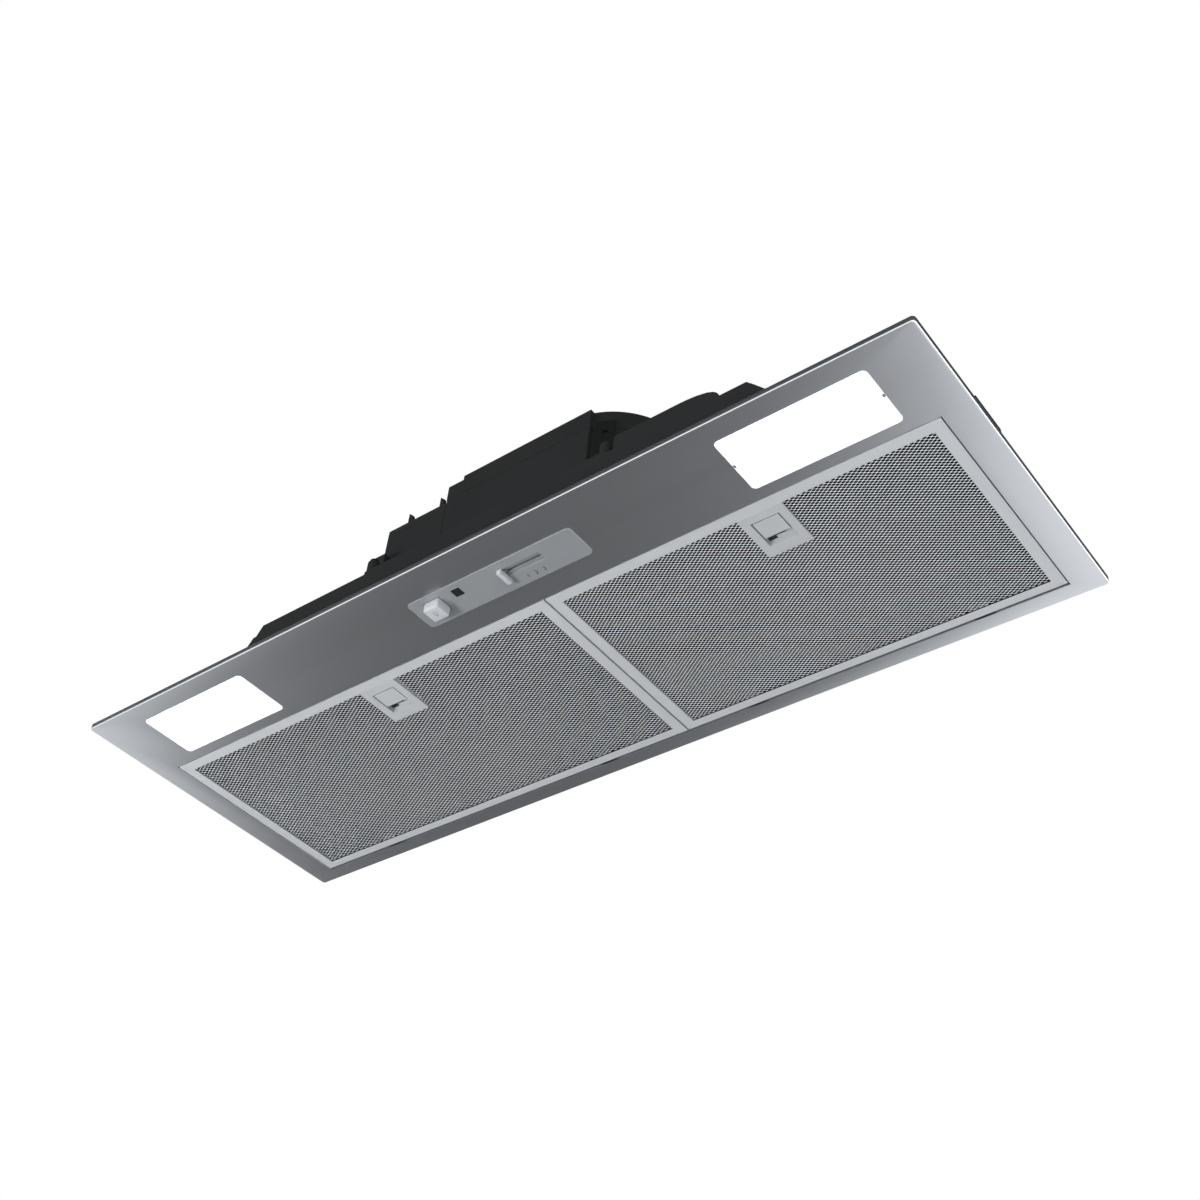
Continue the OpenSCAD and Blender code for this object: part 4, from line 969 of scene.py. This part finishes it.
def stage_plane(name, corners, shader_colour, glow):
    """A flat stage piece of one diffuse colour, or of one plain brightness where glow is given."""
    mesh = bpy.data.meshes.new(name)
    mesh.from_pydata([tuple(c) for c in corners], [], [(0, 1, 2, 3)])
    material = bpy.data.materials.new(name)
    material.use_nodes = True
    shader = material.node_tree.nodes["Principled BSDF"]
    shader.inputs["Base Color"].default_value = (*shader_colour, 1)
    shader.inputs["Roughness"].default_value = 0.9
    if glow is not None:
        shader.inputs["Base Color"].default_value = (0, 0, 0, 1)
        shader.inputs["Specular IOR Level"].default_value = 0
        shader.inputs["Emission Color"].default_value = (*glow, 1)
        shader.inputs["Emission Strength"].default_value = 1
    mesh.materials.append(material)
    made = bpy.data.objects.new(name, mesh)
    bpy.context.scene.collection.objects.link(made)
    return made


def paler_to_camera(material, level):
    """Adds an even brightness that only camera rays see, so that a shadow still shows."""
    tree = material.node_tree
    shader = tree.nodes["Principled BSDF"]
    shader.inputs["Emission Color"].default_value = (1, 1, 1, 1)
    path = tree.nodes.new("ShaderNodeLightPath")
    scale = node(tree, "ShaderNodeMath", operation="MULTIPLY")
    scale.inputs[1].default_value = level
    link(tree, path.outputs["Is Camera Ray"], scale.inputs[0])
    link(tree, scale.outputs[0], shader.inputs["Emission Strength"])


def studio_world(scene):
    """A soft even sky; camera, glossy and transmission rays see it plain white."""
    world = bpy.data.worlds.new("studio")
    scene.world = world
    world.use_nodes = True
    tree = world.node_tree
    tree.nodes.clear()
    out = tree.nodes.new("ShaderNodeOutputWorld")
    plain = tree.nodes.new("ShaderNodeBackground")
    plain.inputs["Color"].default_value = (0.96, 0.98, 1.0, 1)
    plain.inputs["Strength"].default_value = 0.36
    white = tree.nodes.new("ShaderNodeBackground")
    white.inputs["Color"].default_value = (1, 1, 1, 1)
    path = tree.nodes.new("ShaderNodeLightPath")
    sees_white = path.outputs["Is Camera Ray"]
    for kind in ("Is Glossy Ray", "Is Transmission Ray"):
        either = node(tree, "ShaderNodeMath", operation="MAXIMUM")
        link(tree, sees_white, either.inputs[0])
        link(tree, path.outputs[kind], either.inputs[1])
        sees_white = either.outputs[0]
    mix = tree.nodes.new("ShaderNodeMixShader")
    link(tree, sees_white, mix.inputs[0])
    link(tree, plain.outputs[0], mix.inputs[1])
    link(tree, white.outputs[0], mix.inputs[2])
    link(tree, mix.outputs[0], out.inputs["Surface"])


def reflected_cards(floor_z):
    """Cards that only reflections see; they stand for the studio that the steel mirrors in the photo.

    A card is its name, its middle, its two half sides as vectors, and its brightness.
    """
    along, across = Vector((-0.644, 0.765, 0.0)), Vector((0.765, 0.644, 0.0))
    band = Vector((-1.165, 1.36, floor_z + 0.05)) - 0.15 * across
    right_along, right_across = Vector((-0.244, 0.970, 0.0)), Vector((0.970, 0.244, 0.0))
    right = Vector((0.62, 1.58, floor_z + 0.08))
    front = Vector((-1.3, -2.9, floor_z + 0.1))
    end = Vector((3.66, 2.35, floor_z + 0.08))
    cards = (
        # the dark band over the plate's middle, with a pale card on each side of it
        ("shading_card", band, along * 4.0, across * 0.84, 0.085),
        ("left_white_card", band - 2.90 * across, along * 4.0, across * 2.0, 0.82),
        ("right_white_card", right, right_along * 4.0, right_across * 0.8, 0.93),
        # a dark lid, so that the upper side stays deep
        ("dark_ceiling", Vector((0.0, 0.0, 2.4)), Vector((5.0, 0, 0)), Vector((0, -5.0, 0)), 0.02),
        # the bright lines on the front fold and on the right end's fold
        ("front_strip_card", front, Vector((2.2, 0, 0)), Vector((0, -2.3, 0)), 1.35),
        ("end_strip_card", end, right_along * 3.0, right_across * 2.4, 2.6),
    )
    for name, middle, a, b, level in cards:
        corners = [middle - a - b, middle - a + b, middle + a + b, middle + a - b]
        card = stage_plane(name, corners, (0, 0, 0), (level, 1.01 * level, 1.03 * level))
        card.visible_camera = False
        card.visible_diffuse = False
        card.visible_shadow = False
        card.visible_transmission = False


def photo_camera():
    """The camera that was fitted to the photo: its axes as rows, then its place in metres."""
    camera = bpy.data.cameras.new("camera")
    camera.lens = 48.21564
    camera.sensor_width = 36.0
    camera.clip_start, camera.clip_end = 0.01, 60
    holder = bpy.data.objects.new("camera", camera)
    right = Vector((0.7959408, 0.6014181, 0.0690977))
    up = Vector((0.3579928, -0.5596535, 0.7474149))
    back = Vector((0.4881797, -0.5701615, -0.6607545))
    turn = Matrix((right, up, back)).transposed().to_4x4()
    holder.matrix_world = Matrix.Translation((0.6695514, -0.7342029, -0.8086246)) @ turn
    return holder


class HOOD_OT_stage(bpy.types.Operator):
    """Pale floor, soft studio light, cards for the reflections and the camera"""

    bl_idname = "hood.stage"
    bl_label = "Stage"

    def execute(self, context):
        scene = context.scene
        scene.view_settings.view_transform = "Standard"
        studio_world(scene)
        floor_z, reach = -1.5, 9.0
        corners = [(x * reach, y * reach, floor_z) for x, y in ((-1, -1), (1, -1), (1, 1), (-1, 1))]
        ground = stage_plane("floor", corners, (0.86, 0.86, 0.86), None)
        paler_to_camera(ground.active_material, 0.38)
        reflected_cards(floor_z)
        lamp("key_softbox", (-1.0, -1.6, -1.35), (0.8, 0.6), 50).visible_glossy = False
        lamp("fill_softbox", (1.6, -1.5, -0.6), (1.6, 1.2), 16)
        lamp("top_softbox", (0.6, 0.8, 1.9), (1.8, 1.8), 22).visible_glossy = False
        camera = photo_camera()
        scene.collection.objects.link(camera)
        scene.camera = camera
        return {"FINISHED"}


class HOOD_PT_panel(bpy.types.Panel):
    """Lists the pieces and their sizes"""

    bl_idname = "HOOD_PT_panel"
    bl_label = "Range hood insert"
    bl_space_type = "VIEW_3D"
    bl_region_type = "UI"
    bl_category = "Hood"

    def draw(self, context):
        for operator in OPERATORS:
            self.layout.operator(operator.bl_idname)
        for group in (context.scene.hood_sizes, context.scene.hood_colours):
            for name in group.__annotations__:
                self.layout.prop(group, name)


OPERATORS = (
    HOOD_OT_face_plate, HOOD_OT_filters, HOOD_OT_latches, HOOD_OT_lamps, HOOD_OT_controls,
    HOOD_OT_air_box, HOOD_OT_blower, HOOD_OT_outlet, HOOD_OT_electrics, HOOD_OT_side_clips,
    HOOD_OT_stage,
)
CLASSES = (HoodSizes, HoodColours, *OPERATORS, HOOD_PT_panel)


def register():
    for made in CLASSES:
        bpy.utils.register_class(made)
    bpy.types.Scene.hood_sizes = bpy.props.PointerProperty(type=HoodSizes)
    bpy.types.Scene.hood_colours = bpy.props.PointerProperty(type=HoodColours)


def unregister():
    del bpy.types.Scene.hood_colours
    del bpy.types.Scene.hood_sizes
    for made in reversed(CLASSES):
        bpy.utils.unregister_class(made)


def main():
    register()
    for operator in OPERATORS:
        family, name = operator.bl_idname.split(".")
        getattr(getattr(bpy.ops, family), name)()


if __name__ == "__main__":
    main()
